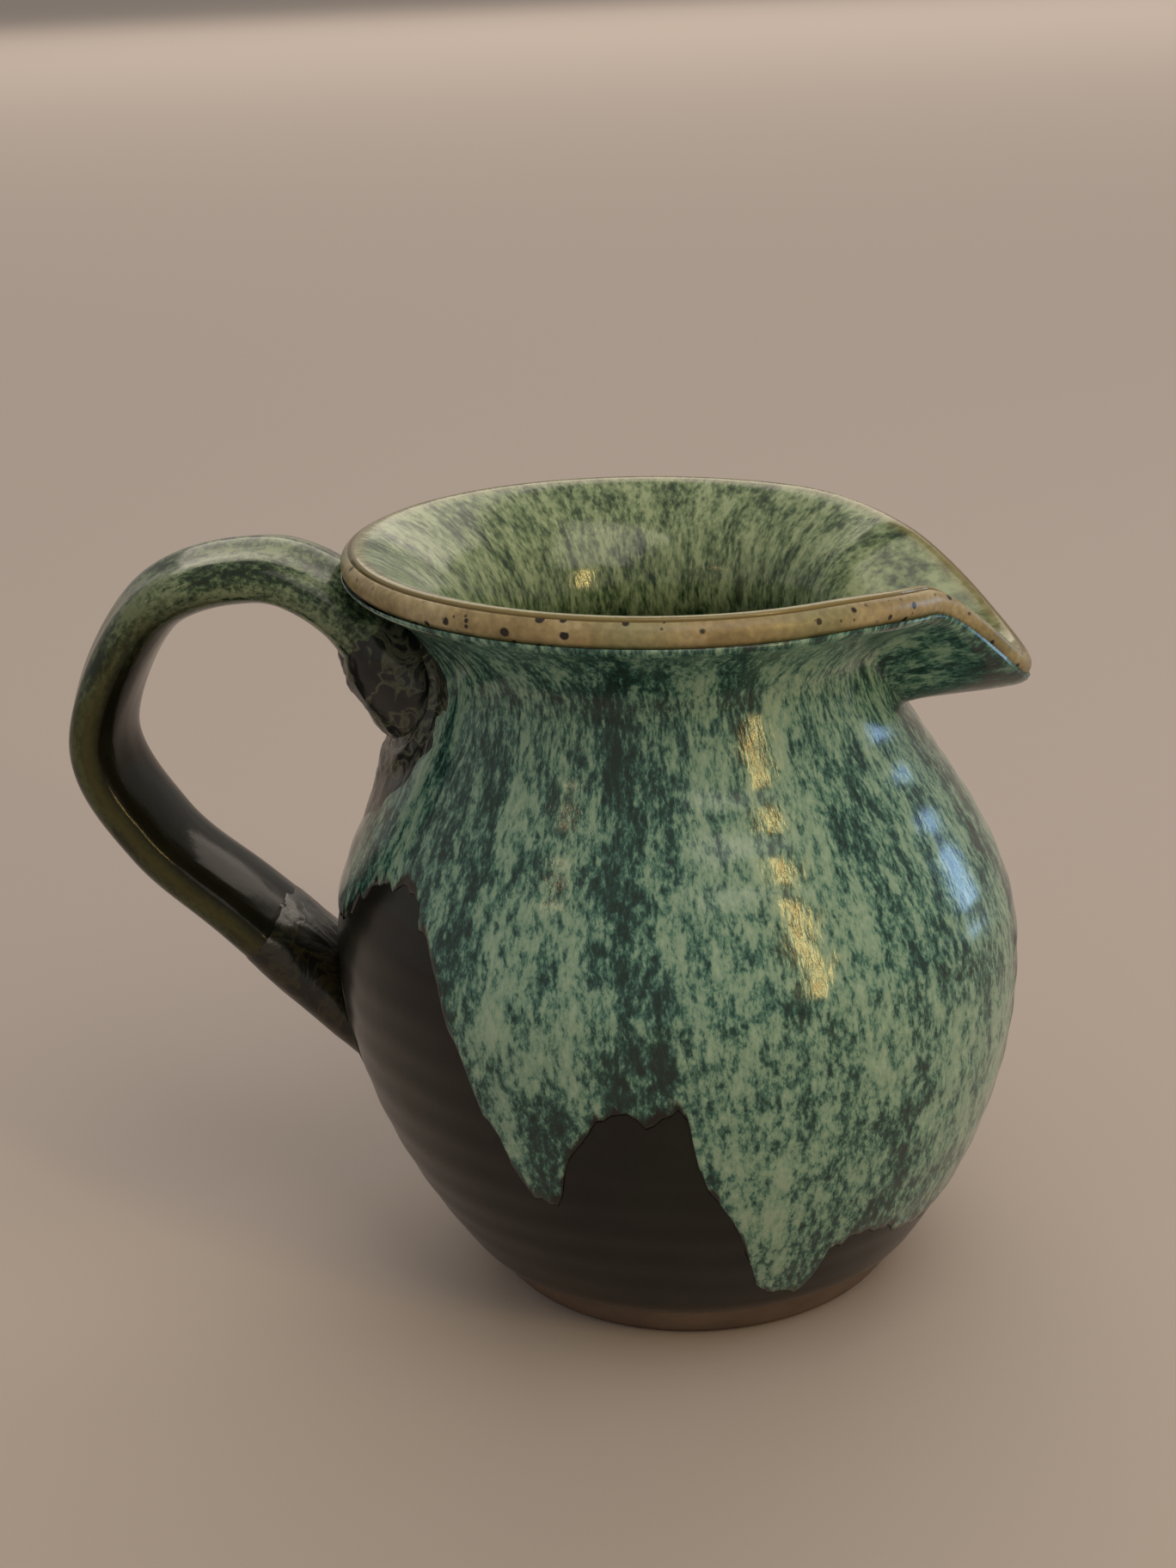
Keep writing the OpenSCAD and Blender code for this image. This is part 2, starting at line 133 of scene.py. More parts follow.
def wall_line(pull):
    """Wall from foot to lip as [radius, height]: its outside, inside, lip and share of the rim.
    pull is 0 where the pot is round and 1 in the middle of the spout."""
    start = flare_height - spout_root * pull
    z = np.concatenate([np.linspace(1, shoulder_height, 84), np.linspace(shoulder_height, start, 22)[1:]])
    low = np.stack([pot_radius(z) - wall / 2, z], 1)
    inward = np.array([pot_radius(start + 1) - pot_radius(start), 1])
    slope = math.radians(lip_slope - 10 * pull)
    p0, p3 = low[-1], np.array([rim_radius + spout_reach * pull, rim_height - spout_dip * pull])
    p1 = p0 + (8 - 3 * pull) * inward / np.linalg.norm(inward)
    p2 = p3 - (7 + 3 * pull) * np.array([math.cos(slope), math.sin(slope)])
    t = np.linspace(0, 1, 31)[1:, None]
    flare = (1 - t) ** 3 * p0 + 3 * (1 - t) ** 2 * t * p1 + 3 * (1 - t) * t * t * p2 + t ** 3 * p3
    middle = np.concatenate([low, flare])
    share = np.concatenate([np.zeros(len(low)), t[:, 0]])
    along = np.gradient(middle, axis=0)
    along /= np.linalg.norm(along, axis=1, keepdims=True)
    out = np.stack([along[:, 1], -along[:, 0]], 1)
    level_share = np.minimum(share * 8, 1)[:, None]
    out = (1 - level_share) * np.array([1, 0]) + level_share * out
    half = (wall + (lip - wall) * share)[:, None] / 2
    bend = np.linspace(0, np.pi, 16)[1:-1, None]
    curl = middle[-1] + half[-1] * (np.cos(bend) * out[-1] + np.sin(bend) * along[-1])
    rim = 3 * (1 - share) * share ** 2 + share ** 3
    return middle + half * out, middle - half * out, curl, rim


def clay_section(pull):
    """The whole section of the clay, from the middle of the underside round to the middle of the floor."""
    outside, inside, curl, rim = wall_line(pull)
    ring_in = foot_radius - foot_ring
    under = [(0, recess), (10, recess), (18, recess), (ring_in - 3, recess), (ring_in - 1.6, recess - 0.3),
             (ring_in - 0.6, 0.9), (ring_in + 0.2, 0.2), (ring_in + 0.9, 0), (foot_radius - 3, 0),
             (foot_radius - 1.1, 0), (foot_radius - 0.2, 0.25)]
    keep = inside[:, 1] > 15
    first = inside[keep][0]
    t = np.linspace(0, 1, 14)[1:, None]
    corner, flat = np.array([foot_radius + 1, floor_height + 0.3]), np.array([foot_radius - 15, floor_height])
    cove = (1 - t) ** 2 * first + 2 * (1 - t) * t * corner + t * t * flat
    middle = np.array([(foot_radius - 24, floor_height), (0, floor_height)])
    points = np.concatenate([under, outside, curl, inside[keep][::-1], cove, middle])
    edge = [np.zeros(len(under)), rim, np.ones(len(curl)), rim[keep][::-1], np.zeros(len(cove) + 2)]
    return points, np.concatenate(edge)


def ripple_share(points):
    """How clearly the throwing rings show: not on the foot, the lip, the floor or the underside."""
    z = points[:, 1]
    return np.clip((z - 9) / 12, 0, 1) * np.clip((116 - z) / 14, 0, 1)


def line_object(name, points, **attributes):
    """A mesh line through points in mm, holding one vector at each of them for each attribute."""
    mesh = bpy.data.meshes.new(name)
    mesh.from_pydata((np.asarray(points) * mm).tolist(), [(i, i + 1) for i in range(len(points) - 1)], [])
    for key, vectors in attributes.items():
        layer = mesh.attributes.new(key, "FLOAT_VECTOR", "POINT")
        layer.data.foreach_set("vector", np.asarray(vectors, float).ravel())
    line = bpy.data.objects.new(name, mesh)
    scene.collection.objects.link(line)
    return line


def wall_object(name, sections):
    """A line along the round wall that also holds where the spout pulls each point to, and its length."""
    (points, rim), (pulled, _) = sections
    run = np.concatenate([[0], np.cumsum(np.linalg.norm(np.diff(points, axis=0), axis=1))]) * mm
    place, pull_to = (np.stack([q[:, 0], 0 * rim, q[:, 1]], 1) for q in (points, pulled))
    line = line_object(name, place, pulled=pull_to * mm,
                       blend=np.stack([rim, ripple_share(points), run], 1))
    return line, run


def add(tree, kind, inputs=None, out=0, **settings):
    """Adds a node with its settings, sets or links its inputs, and returns one output."""
    node = tree.nodes.new(kind)
    for name, value in settings.items():
        setattr(node, name, value)
    for name, value in (inputs or {}).items():
        if isinstance(value, bpy.types.NodeSocket):
            tree.links.new(value, node.inputs[name])
        else:
            node.inputs[name].default_value = value
    return node.outputs[out]


def ask(tree, name, kind, value=None):
    """Adds a named input to a tree and gives it a value."""
    socket = tree.interface.new_socket(name, in_out="INPUT", socket_type="NodeSocket" + kind)
    if value is not None:
        socket.default_value = value


# From a point of the round section to its place in the pot: the spout is pulled out and down over
# its width, the rim sags beside it, the rings are pressed in, and the axis leans to the handle.
pulled_wall = bpy.data.node_groups.new("pulled wall", "GeometryNodeTree")
tree = pulled_wall
for name in ("Round", "Pulled", "Blend"):
    ask(tree, name, "Vector")
ask(tree, "Angle", "Float")
for name, value in (("Spout half width", math.radians(spout_half)), ("Spout turn", math.radians(spout_turn)),
                    ("Spout reach", spout_reach * mm), ("Rim drop", rim_drop * mm), ("Rim sag", rim_sag * mm),
                    ("Lean", math.tan(math.radians(lean))), ("Ring pitch", 6.6 * mm),
                    ("Ring height", 0.08 * mm), ("Wobble", 0.6 * mm), ("Glaze radius", belly_radius * mm)):
    ask(tree, name, "Float", value)
tree.interface.new_socket("Position", in_out="OUTPUT", socket_type="NodeSocketVector")
tree.interface.new_socket("Flow", in_out="OUTPUT", socket_type="NodeSocketVector")
given = tree.nodes.new("NodeGroupInput").outputs
off = add(tree, "ShaderNodeMath", {0: given["Angle"], 1: given["Spout turn"]}, operation="SUBTRACT")
off = add(tree, "ShaderNodeMath", {0: off, 1: math.pi, 2: -math.pi}, operation="WRAP")
off = add(tree, "ShaderNodeMath", {0: off}, operation="ABSOLUTE")
share = add(tree, "ShaderNodeMath", {0: off, 1: given["Spout half width"]}, operation="DIVIDE")
wide = add(tree, "ShaderNodeMath", {0: share, 1: 0.5}, operation="MULTIPLY", use_clamp=True)
wide = add(tree, "ShaderNodeMath", {0: wide, 1: math.pi}, operation="MULTIPLY")
wide = add(tree, "ShaderNodeMath", {0: wide}, operation="COSINE")
sagging = add(tree, "ShaderNodeMath", {0: wide, 1: 0.5, 2: 0.5}, operation="MULTIPLY_ADD")
share = add(tree, "ShaderNodeMath", {0: share, 1: 1.0}, operation="MINIMUM")
share = add(tree, "ShaderNodeMath", {0: share, 1: 1.2}, operation="POWER")
share = add(tree, "ShaderNodeMath", {0: share, 1: math.pi}, operation="MULTIPLY")
share = add(tree, "ShaderNodeMath", {0: share}, operation="COSINE")
reach = add(tree, "ShaderNodeMath", {0: share, 1: 0.5, 2: 0.5}, operation="MULTIPLY_ADD")
pull = add(tree, "ShaderNodeMath", {0: reach, 1: 1.25}, operation="POWER")
section = add(tree, "ShaderNodeMix", {0: pull, 4: given["Round"], 5: given["Pulled"]}, out=1,
              data_type="VECTOR")
section = add(tree, "ShaderNodeSeparateXYZ", {0: section}).node.outputs
blend = add(tree, "ShaderNodeSeparateXYZ", {0: given["Blend"]}).node.outputs
extra = add(tree, "ShaderNodeMath", {0: reach, 1: pull}, operation="SUBTRACT")
extra = add(tree, "ShaderNodeMath", {0: extra, 1: given["Spout reach"]}, operation="MULTIPLY")
radius = add(tree, "ShaderNodeMath", {0: extra, 1: blend[0], 2: section[0]}, operation="MULTIPLY_ADD")
cosine = add(tree, "ShaderNodeMath", {0: given["Angle"]}, operation="COSINE")
sine = add(tree, "ShaderNodeMath", {0: given["Angle"]}, operation="SINE")
fall = add(tree, "ShaderNodeMath", {0: given["Rim drop"], 1: 0.5}, operation="MULTIPLY")
fall = add(tree, "ShaderNodeMath", {0: fall, 1: cosine}, operation="MULTIPLY")
fall = add(tree, "ShaderNodeMath", {0: given["Rim sag"], 1: sagging, 2: fall}, operation="MULTIPLY_ADD")
fall = add(tree, "ShaderNodeMath", {0: fall, 1: blend[0]}, operation="MULTIPLY")
height = add(tree, "ShaderNodeMath", {0: section[2], 1: fall}, operation="SUBTRACT")
circle = add(tree, "ShaderNodeCombineXYZ", {0: cosine, 1: sine})
round_place = add(tree, "ShaderNodeSeparateXYZ", {0: given["Round"]}).node.outputs
on_wall = add(tree, "ShaderNodeVectorMath", {0: circle, "Scale": given["Glaze radius"]}, operation="SCALE")
upwards = add(tree, "ShaderNodeCombineXYZ", {2: blend[2]})
flow = add(tree, "ShaderNodeVectorMath", {0: on_wall, 1: upwards}, operation="ADD")
raised = add(tree, "ShaderNodeCombineXYZ", {2: round_place[2]})
rough_place = add(tree, "ShaderNodeVectorMath", {0: on_wall, 1: raised}, operation="ADD")
phase = add(tree, "ShaderNodeMath", {0: round_place[2], 1: given["Ring pitch"]}, operation="DIVIDE")
phase = add(tree, "ShaderNodeMath", {0: phase, 1: 2 * math.pi, 2: given["Angle"]}, operation="MULTIPLY_ADD")
drift = add(tree, "ShaderNodeTexNoise", {"Vector": rough_place, "Scale": 1 / (35.7 * mm), "Detail": 1.0})
phase = add(tree, "ShaderNodeMath", {0: drift, 1: 5.0, 2: phase}, operation="MULTIPLY_ADD")
rings = add(tree, "ShaderNodeMath", {0: phase}, operation="SINE")
rings = add(tree, "ShaderNodeMath", {0: rings, 1: given["Ring height"]}, operation="MULTIPLY")
bump = add(tree, "ShaderNodeTexNoise", {"Vector": rough_place, "Scale": 1 / (45.5 * mm), "Detail": 2.0})
bump = add(tree, "ShaderNodeMath", {0: bump, 1: 0.5}, operation="SUBTRACT")
rings = add(tree, "ShaderNodeMath", {0: bump, 1: given["Wobble"], 2: rings}, operation="MULTIPLY_ADD")
radius = add(tree, "ShaderNodeMath", {0: rings, 1: blend[1], 2: radius}, operation="MULTIPLY_ADD")
x = add(tree, "ShaderNodeMath", {0: radius, 1: cosine}, operation="MULTIPLY")
shift = add(tree, "ShaderNodeMath", {0: height, 1: given["Lean"]}, operation="MULTIPLY")
x = add(tree, "ShaderNodeMath", {0: x, 1: shift}, operation="SUBTRACT")
y = add(tree, "ShaderNodeMath", {0: radius, 1: sine}, operation="MULTIPLY")
result = tree.nodes.new("NodeGroupOutput").inputs
tree.links.new(add(tree, "ShaderNodeCombineXYZ", {0: x, 1: y, 2: height}), result["Position"])
tree.links.new(flow, result["Flow"])


weld = 0.004 * mm
fold_angle = math.radians(60)


def turned_grid(tree, rows, turns):
    """A grid with a row for each level and a column for each step round: its mesh, row and angle."""
    columns = add(tree, "FunctionNodeIntegerMath", {0: turns, 1: 1}, operation="ADD")
    mesh = add(tree, "GeometryNodeMeshGrid", {"Vertices X": rows, "Vertices Y": columns})
    index = add(tree, "GeometryNodeInputIndex")
    row = add(tree, "FunctionNodeIntegerMath", {0: index, 1: columns}, operation="DIVIDE_FLOOR")
    column = add(tree, "FunctionNodeIntegerMath", {0: index, 1: columns}, operation="MODULO")
    angle = add(tree, "ShaderNodeMath", {0: column, 1: turns}, operation="DIVIDE")
    return mesh, row, add(tree, "ShaderNodeMath", {0: angle, 1: 2 * math.pi}, operation="MULTIPLY")


def named(tree, name, kind="FLOAT_VECTOR"):
    """Reads an attribute of the geometry that the tree is working on."""
    return add(tree, "GeometryNodeInputNamedAttribute", {"Name": name}, data_type=kind)


def store(tree, mesh, name, value, kind="FLOAT_VECTOR"):
    """Keeps a value on the mesh under a name, where later nodes and materials find it."""
    return add(tree, "GeometryNodeStoreNamedAttribute", {"Geometry": mesh, "Name": name, "Value": value},
               data_type=kind)


def finished(tree, mesh, material):
    """Ends a tree: welds the seam and the poles, and sets the finish."""
    mesh = add(tree, "GeometryNodeMergeByDistance", {"Geometry": mesh, "Distance": weld})
    mesh = add(tree, "GeometryNodeSetShadeSmooth", {"Geometry": mesh})
    fold = add(tree, "GeometryNodeInputMeshEdgeAngle")
    fold = add(tree, "FunctionNodeCompare", {0: fold, 1: fold_angle}, operation="GREATER_THAN")
    mesh = add(tree, "GeometryNodeSetShadeSmooth",
               {"Geometry": mesh, "Selection": fold, "Shade Smooth": False}, domain="EDGE")
    mesh = add(tree, "GeometryNodeRealizeInstances", {"Geometry": mesh})
    mesh = add(tree, "GeometryNodeSetMaterial", {"Geometry": mesh, "Material": material})
    tree.interface.new_socket("Geometry", in_out="OUTPUT", socket_type="NodeSocketGeometry")
    tree.links.new(mesh, tree.nodes.new("NodeGroupOutput").inputs[0])


def group(tree, inner, inputs):
    """Adds a group of nodes, links its inputs by name, and returns its outputs."""
    node = tree.nodes.new("GeometryNodeGroup")
    node.node_tree = inner
    for name, value in inputs.items():
        tree.links.new(value, node.inputs[name])
    return node.outputs


# The clay: every point of the section goes once round the pot.
thrown_wall = bpy.data.node_groups.new("thrown wall", "GeometryNodeTree")
tree = thrown_wall
ask(tree, "Section", "Geometry")
ask(tree, "Turns", "Int", 256)
ask(tree, "Finish", "Material")
given = tree.nodes.new("NodeGroupInput").outputs
rows = add(tree, "GeometryNodeAttributeDomainSize", {0: given["Section"]})
mesh, row, angle = turned_grid(tree, rows, given["Turns"])
at_row = {}
for name, value in (("Round", add(tree, "GeometryNodeInputPosition")), ("Pulled", named(tree, "pulled")),
                    ("Blend", named(tree, "blend"))):
    at_row[name] = add(tree, "GeometryNodeSampleIndex",
                       {"Geometry": given["Section"], "Value": value, "Index": row}, data_type="FLOAT_VECTOR")
placed = group(tree, pulled_wall, {**at_row, "Angle": angle})
mesh = add(tree, "GeometryNodeSetPosition", {"Geometry": mesh, "Position": placed["Position"]})
finished(tree, store(tree, mesh, "flow", placed["Flow"]), given["Finish"])


def build(name, source, tree, node, slot, **values):
    """Runs a tree on an object and keeps the result as a plain closed mesh that stands for a CAD node."""
    modifier = source.modifiers.new("build", "NODES")
    modifier.node_group = tree
    for item in tree.interface.items_tree:
        key = item.name.lower().replace(" ", "_")
        if item.in_out == "INPUT" and key in values:
            modifier[item.identifier] = values[key]
    shown = source.evaluated_get(bpy.context.evaluated_depsgraph_get())
    mesh = bpy.data.meshes.new_from_object(shown, preserve_all_data_layers=True,
                                           depsgraph=bpy.context.evaluated_depsgraph_get())
    source.modifiers.remove(modifier)
    scene.collection.objects.unlink(source)
    shape = bmesh.new()
    shape.from_mesh(mesh)
    bmesh.ops.dissolve_degenerate(shape, dist=0.002 * mm, edges=shape.edges)
    bmesh.ops.recalc_face_normals(shape, faces=shape.faces)
    shape.to_mesh(mesh)
    shape.free()
    piece = bpy.data.objects.new(name, mesh)
    scene.collection.objects.link(piece)
    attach(piece, "root")
    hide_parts(*node)
    return piece


def set_stops(ramp, stops):
    """Gives a ramp its stops: for each a place from 0 to 1 and a hex colour."""
    for element, (place, code) in zip(ramp.elements, (stops[0], stops[-1])):
        element.position, element.color = place, colour(code)
    for place, code in stops[1:-1]:
        ramp.elements.new(place).color = colour(code)


# Iron-bearing stoneware, thrown smooth. Where the glaze runs off the lip the clay shows through it,
# glossy and toast brown with black iron specks of up to 1.5 mm. The wiped foot is bare and matt.
stoneware, tree, shader = new_finish("iron_stoneware_thin_glazed_lip")
place = add(tree, "ShaderNodeTexCoord", out="Object")
height = add(tree, "ShaderNodeSeparateXYZ", {0: place}, out=2)
cloud = add(tree, "ShaderNodeTexNoise",
            {"Vector": place, "Scale": 1 / (11.1 * mm), "Detail": 4.0, "Roughness": 0.6})
toast = add(tree, "ShaderNodeValToRGB", {0: cloud}, out=0)
set_stops(toast.node.color_ramp, ((0.32, "#786a48"), (0.5, "#9d8c64"), (0.72, "#b5a987")))
tint = add(tree, "ShaderNodeTexNoise", {"Vector": place, "Scale": 1 / (26.3 * mm), "Detail": 2.0})
tint = add(tree, "ShaderNodeMapRange", {0: tint, 1: 0.5, 2: 0.68})
toast = add(tree, "ShaderNodeMix", {0: tint, 6: toast, 7: colour("#868762")}, out=2, data_type="RGBA")
grain = add(tree, "ShaderNodeTexNoise", {"Vector": place, "Scale": 1 / (1.11 * mm), "Detail": 2.0})
grain = add(tree, "ShaderNodeMapRange", {0: grain, 1: 0.35, 2: 0.7, 3: 0.8, 4: 1.12})
specks = add(tree, "ShaderNodeTexVoronoi", {"Vector": place, "Scale": 1 / (1.786 * mm), "Randomness": 1.0})
chance = add(tree, "ShaderNodeSeparateColor", {0: specks.node.outputs["Color"]})
size = add(tree, "ShaderNodeMapRange", {0: chance, 1: 0.55, 2: 1.0, 3: 0.05, 4: 0.5})
speck = add(tree, "ShaderNodeMath", {0: size, 1: specks}, operation="SUBTRACT")
speck = add(tree, "ShaderNodeMapRange", {0: speck, 1: 0.0, 2: 0.12})
shade = add(tree, "ShaderNodeVectorMath", {0: toast, "Scale": grain}, operation="SCALE")
glazed = add(tree, "ShaderNodeMix", {0: speck, 6: shade, 7: colour("#1d140c")}, out=2, data_type="RGBA")
raw = add(tree, "ShaderNodeMix", {0: cloud, 6: colour("#433128"), 7: colour("#7c6a5a")}, out=2,
          data_type="RGBA")
bare = add(tree, "ShaderNodeMapRange", {0: height, 1: 0.011, 2: 0.009})
red = add(tree, "ShaderNodeMapRange", {0: height, 1: 0.0016, 2: 0.0005})
raw = add(tree, "ShaderNodeMix", {0: red, 6: raw, 7: colour("#4b1f16")}, out=2, data_type="RGBA")
paint = add(tree, "ShaderNodeMix", {0: bare, 6: glazed, 7: raw}, out=2, data_type="RGBA")
tree.links.new(paint, shader.inputs["Base Color"])
gloss = add(tree, "ShaderNodeMapRange", {0: bare, 3: 0.36, 4: 0.8})
tree.links.new(gloss, shader.inputs["Roughness"])
relief = add(tree, "ShaderNodeMath", {0: grain, 1: cloud}, operation="ADD")
relief = add(tree, "ShaderNodeBump", {"Strength": 0.25, "Distance": 0.3 * mm, "Height": relief})
tree.links.new(relief, shader.inputs["Normal"])
shader.inputs["IOR"].default_value = 1.5

clay_line, _ = wall_object("clay_section", [clay_section(0), clay_section(1)])
body = build("thrown_stoneware_body", clay_line, thrown_wall, ["thrown_body"], "stoneware_clay",
             finish=stoneware)

# --- Base glaze ------------------------------------------------------------------------------
# Brown-black iron glaze. The pot was dipped in it upside down to the foot and the foot was wiped, so
# it is one even film on the outside from just above the foot to the lip.
def outside_line(pull):
    """The outside of the wall from the foot to a little way round the lip."""
    outside, _, curl, rim = wall_line(pull)
    return np.concatenate([outside, curl[:3]]), np.append(rim, [1, 1, 1])


# A coat of glaze, in mm: how far it lies off what is under it, and how thick its film is.
coat_gap, coat_film = 0.02, 0.5

# The last part of every coat: two skins over a sheet, which close where the film thins out to nothing.
two_skins = bpy.data.node_groups.new("two skins", "GeometryNodeTree")
tree = two_skins
ask(tree, "Sheet", "Geometry")
for name, value in (("Lift", coat_gap * mm), ("Thickness", coat_film * mm), ("Side", 1)):
    ask(tree, name, "Float", value)
given = tree.nodes.new("NodeGroupInput").outputs
normal = add(tree, "ShaderNodeVectorMath", {0: add(tree, "GeometryNodeInputNormal"), "Scale": given["Side"]},
             operation="SCALE")
film = add(tree, "ShaderNodeMath", {0: named(tree, "film", "FLOAT"), 1: given["Thickness"], 2: given["Lift"]},
           operation="MULTIPLY_ADD")
skins = tree.nodes.new("GeometryNodeJoinGeometry")
for height in (given["Lift"], film):
    step = add(tree, "ShaderNodeVectorMath", {0: normal, "Scale": height}, operation="SCALE")
    skin = add(tree, "GeometryNodeSetPosition", {"Geometry": given["Sheet"], "Offset": step})
    tree.links.new(skin, skins.inputs[0])
tree.interface.new_socket("Coat", in_out="OUTPUT", socket_type="NodeSocketGeometry")
tree.links.new(skins.outputs[0], tree.nodes.new("NodeGroupOutput").inputs[0])

# A poured coat: it covers the wall from its low edge, which may run down in drips, up to its top. Its
# film swells within a millimetre or two of each edge.
running_glaze = bpy.data.node_groups.new("running glaze", "GeometryNodeTree")
tree = running_glaze
ask(tree, "Section", "Geometry")
ask(tree, "Rows", "Int", 130)
ask(tree, "Turns", "Int", 256)
for name, value in (("Low", 0), ("Top", 0), ("Drips", 0), ("Ragged", 0), ("Lift", coat_gap * mm),
                    ("Thickness", coat_film * mm), ("Taper", 1.6 * mm), ("Side", 1)):
    ask(tree, name, "Float", value)
ask(tree, "Finish", "Material")
given = tree.nodes.new("NodeGroupInput").outputs
mesh, row, angle = turned_grid(tree, given["Rows"], given["Turns"])
last = add(tree, "FunctionNodeIntegerMath", {0: given["Rows"], 1: 1}, operation="SUBTRACT")
share = add(tree, "ShaderNodeMath", {0: row, 1: last}, operation="DIVIDE")
part_turn = add(tree, "ShaderNodeMath", {0: angle, 1: 2 * math.pi}, operation="DIVIDE")
drip = add(tree, "ShaderNodeFloatCurve", {0: 1.0, 1: part_turn})
drip_curve = drip.node.mapping
drip_span = 0.2
edge = add(tree, "ShaderNodeMath", {0: drip, 1: drip_span}, operation="MULTIPLY")
cosine = add(tree, "ShaderNodeMath", {0: angle}, operation="COSINE")
sine = add(tree, "ShaderNodeMath", {0: angle}, operation="SINE")
circle = add(tree, "ShaderNodeCombineXYZ", {0: cosine, 1: sine})
jagged = add(tree, "ShaderNodeTexNoise", {"Vector": circle, "Scale": 22.0, "Detail": 3.0, "Roughness": 0.7})
jagged = add(tree, "ShaderNodeMath", {0: jagged, 1: 0.5}, operation="SUBTRACT")
jagged = add(tree, "ShaderNodeMath", {0: jagged, 1: given["Ragged"]}, operation="MULTIPLY")
low = add(tree, "ShaderNodeMix", {0: given["Drips"], 2: given["Low"], 3: edge}, data_type="FLOAT")
run = add(tree, "ShaderNodeMix", {0: share, 2: low, 3: given["Top"]}, data_type="FLOAT")
near_edge = add(tree, "ShaderNodeMath", {0: 1.0, 1: share}, operation="SUBTRACT")
near_edge = add(tree, "ShaderNodeMath", {0: near_edge, 1: 8.0}, operation="POWER")
run = add(tree, "ShaderNodeMath", {0: jagged, 1: near_edge, 2: run}, operation="MULTIPLY_ADD")
low = add(tree, "ShaderNodeMath", {0: low, 1: jagged}, operation="ADD")
curve = add(tree, "GeometryNodeMeshToCurve", {"Mesh": given["Section"]})
at_run = {}
for name, value in (("Round", add(tree, "GeometryNodeInputPosition")), ("Pulled", named(tree, "pulled")),
                    ("Blend", named(tree, "blend"))):
    at_run[name] = add(tree, "GeometryNodeSampleCurve", {"Curves": curve, "Value": value, "Length": run},
                       data_type="FLOAT_VECTOR", mode="LENGTH")
placed = group(tree, pulled_wall, {**at_run, "Angle": angle})
above = add(tree, "ShaderNodeMath", {0: run, 1: low}, operation="SUBTRACT")
below = add(tree, "ShaderNodeMath", {0: given["Top"], 1: run}, operation="SUBTRACT")
film = add(tree, "ShaderNodeMath", {0: above, 1: below}, operation="MINIMUM")
film = add(tree, "ShaderNodeMath", {0: film, 1: given["Taper"]}, operation="DIVIDE", use_clamp=True)
film = add(tree, "ShaderNodeMath", {0: film, 1: 0.5}, operation="POWER")
mesh = add(tree, "GeometryNodeSetPosition", {"Geometry": mesh, "Position": placed["Position"]})
mesh = store(tree, mesh, "flow", placed["Flow"])
mesh = store(tree, mesh, "film", film, "FLOAT")
mesh = store(tree, mesh, "above_edge", above, "FLOAT")
mesh = store(tree, mesh, "below_top", below, "FLOAT")
mesh = add(tree, "GeometryNodeMergeByDistance", {"Geometry": mesh, "Distance": weld})
coat = group(tree, two_skins, {"Sheet": mesh, "Lift": given["Lift"], "Thickness": given["Thickness"],
                            "Side": given["Side"]})
finished(tree, coat["Coat"], given["Finish"])


def iron_glaze(tree, place):
    """Colour of the dark glaze: brown-black, clouded with olive, over coordinates that follow the wall."""
    cloud = add(tree, "ShaderNodeTexNoise", {"Vector": place, "Scale": 1 / (16.67 * mm), "Detail": 4.0})
    cloud = add(tree, "ShaderNodeMapRange", {0: cloud, 1: 0.38, 2: 0.66})
    grain = add(tree, "ShaderNodeTexNoise", {"Vector": place, "Scale": 1 / (1.43 * mm), "Detail": 2.0})
    grain = add(tree, "ShaderNodeMapRange", {0: grain, 1: 0.3, 2: 0.7, 3: 0.85, 4: 1.15})
    dark = add(tree, "ShaderNodeMix", {0: cloud, 6: colour("#110f0d"), 7: colour("#171913")}, out=2,
               data_type="RGBA")
    return add(tree, "ShaderNodeVectorMath", {0: dark, "Scale": grain}, operation="SCALE")


# Glossy iron glaze: near black, with a brown edge where it thins out above the foot.
temmoku, tree, shader = new_finish("glossy_brown_black_iron_glaze")
flow = add(tree, "ShaderNodeAttribute", attribute_name="flow", out=1)
above = add(tree, "ShaderNodeAttribute", attribute_name="above_edge", out=2)
thin = add(tree, "ShaderNodeMapRange", {0: above, 1: 0.004, 2: 0.0})
paint = add(tree, "ShaderNodeMix", {0: thin, 6: iron_glaze(tree, flow), 7: colour("#4a3a2b")}, out=2,
            data_type="RGBA")
tree.links.new(paint, shader.inputs["Base Color"])
dimple = add(tree, "ShaderNodeTexNoise", {"Vector": flow, "Scale": 1 / (3.85 * mm), "Detail": 2.0})
dimple = add(tree, "ShaderNodeBump", {"Strength": 0.3, "Distance": 0.15 * mm, "Height": dimple})
tree.links.new(dimple, shader.inputs["Normal"])
shader.inputs["Roughness"].default_value = 0.24
shader.inputs["Specular IOR Level"].default_value = 0.35
shader.inputs["IOR"].default_value = 1.52

outside, outside_run = wall_object("outside_of_wall", [outside_line(0), outside_line(1)])
outside_z = outside_line(0)[0][:, 1]
glaze_line, bare_lip = 7, 2.2
build("dark_iron_base_glaze", outside, running_glaze, ["base_glaze"], "temmoku_glaze",
      low=float(np.interp(glaze_line, outside_z, outside_run)),
      top=float(outside_run[-1] - bare_lip * mm), side=-1.0, finish=temmoku)

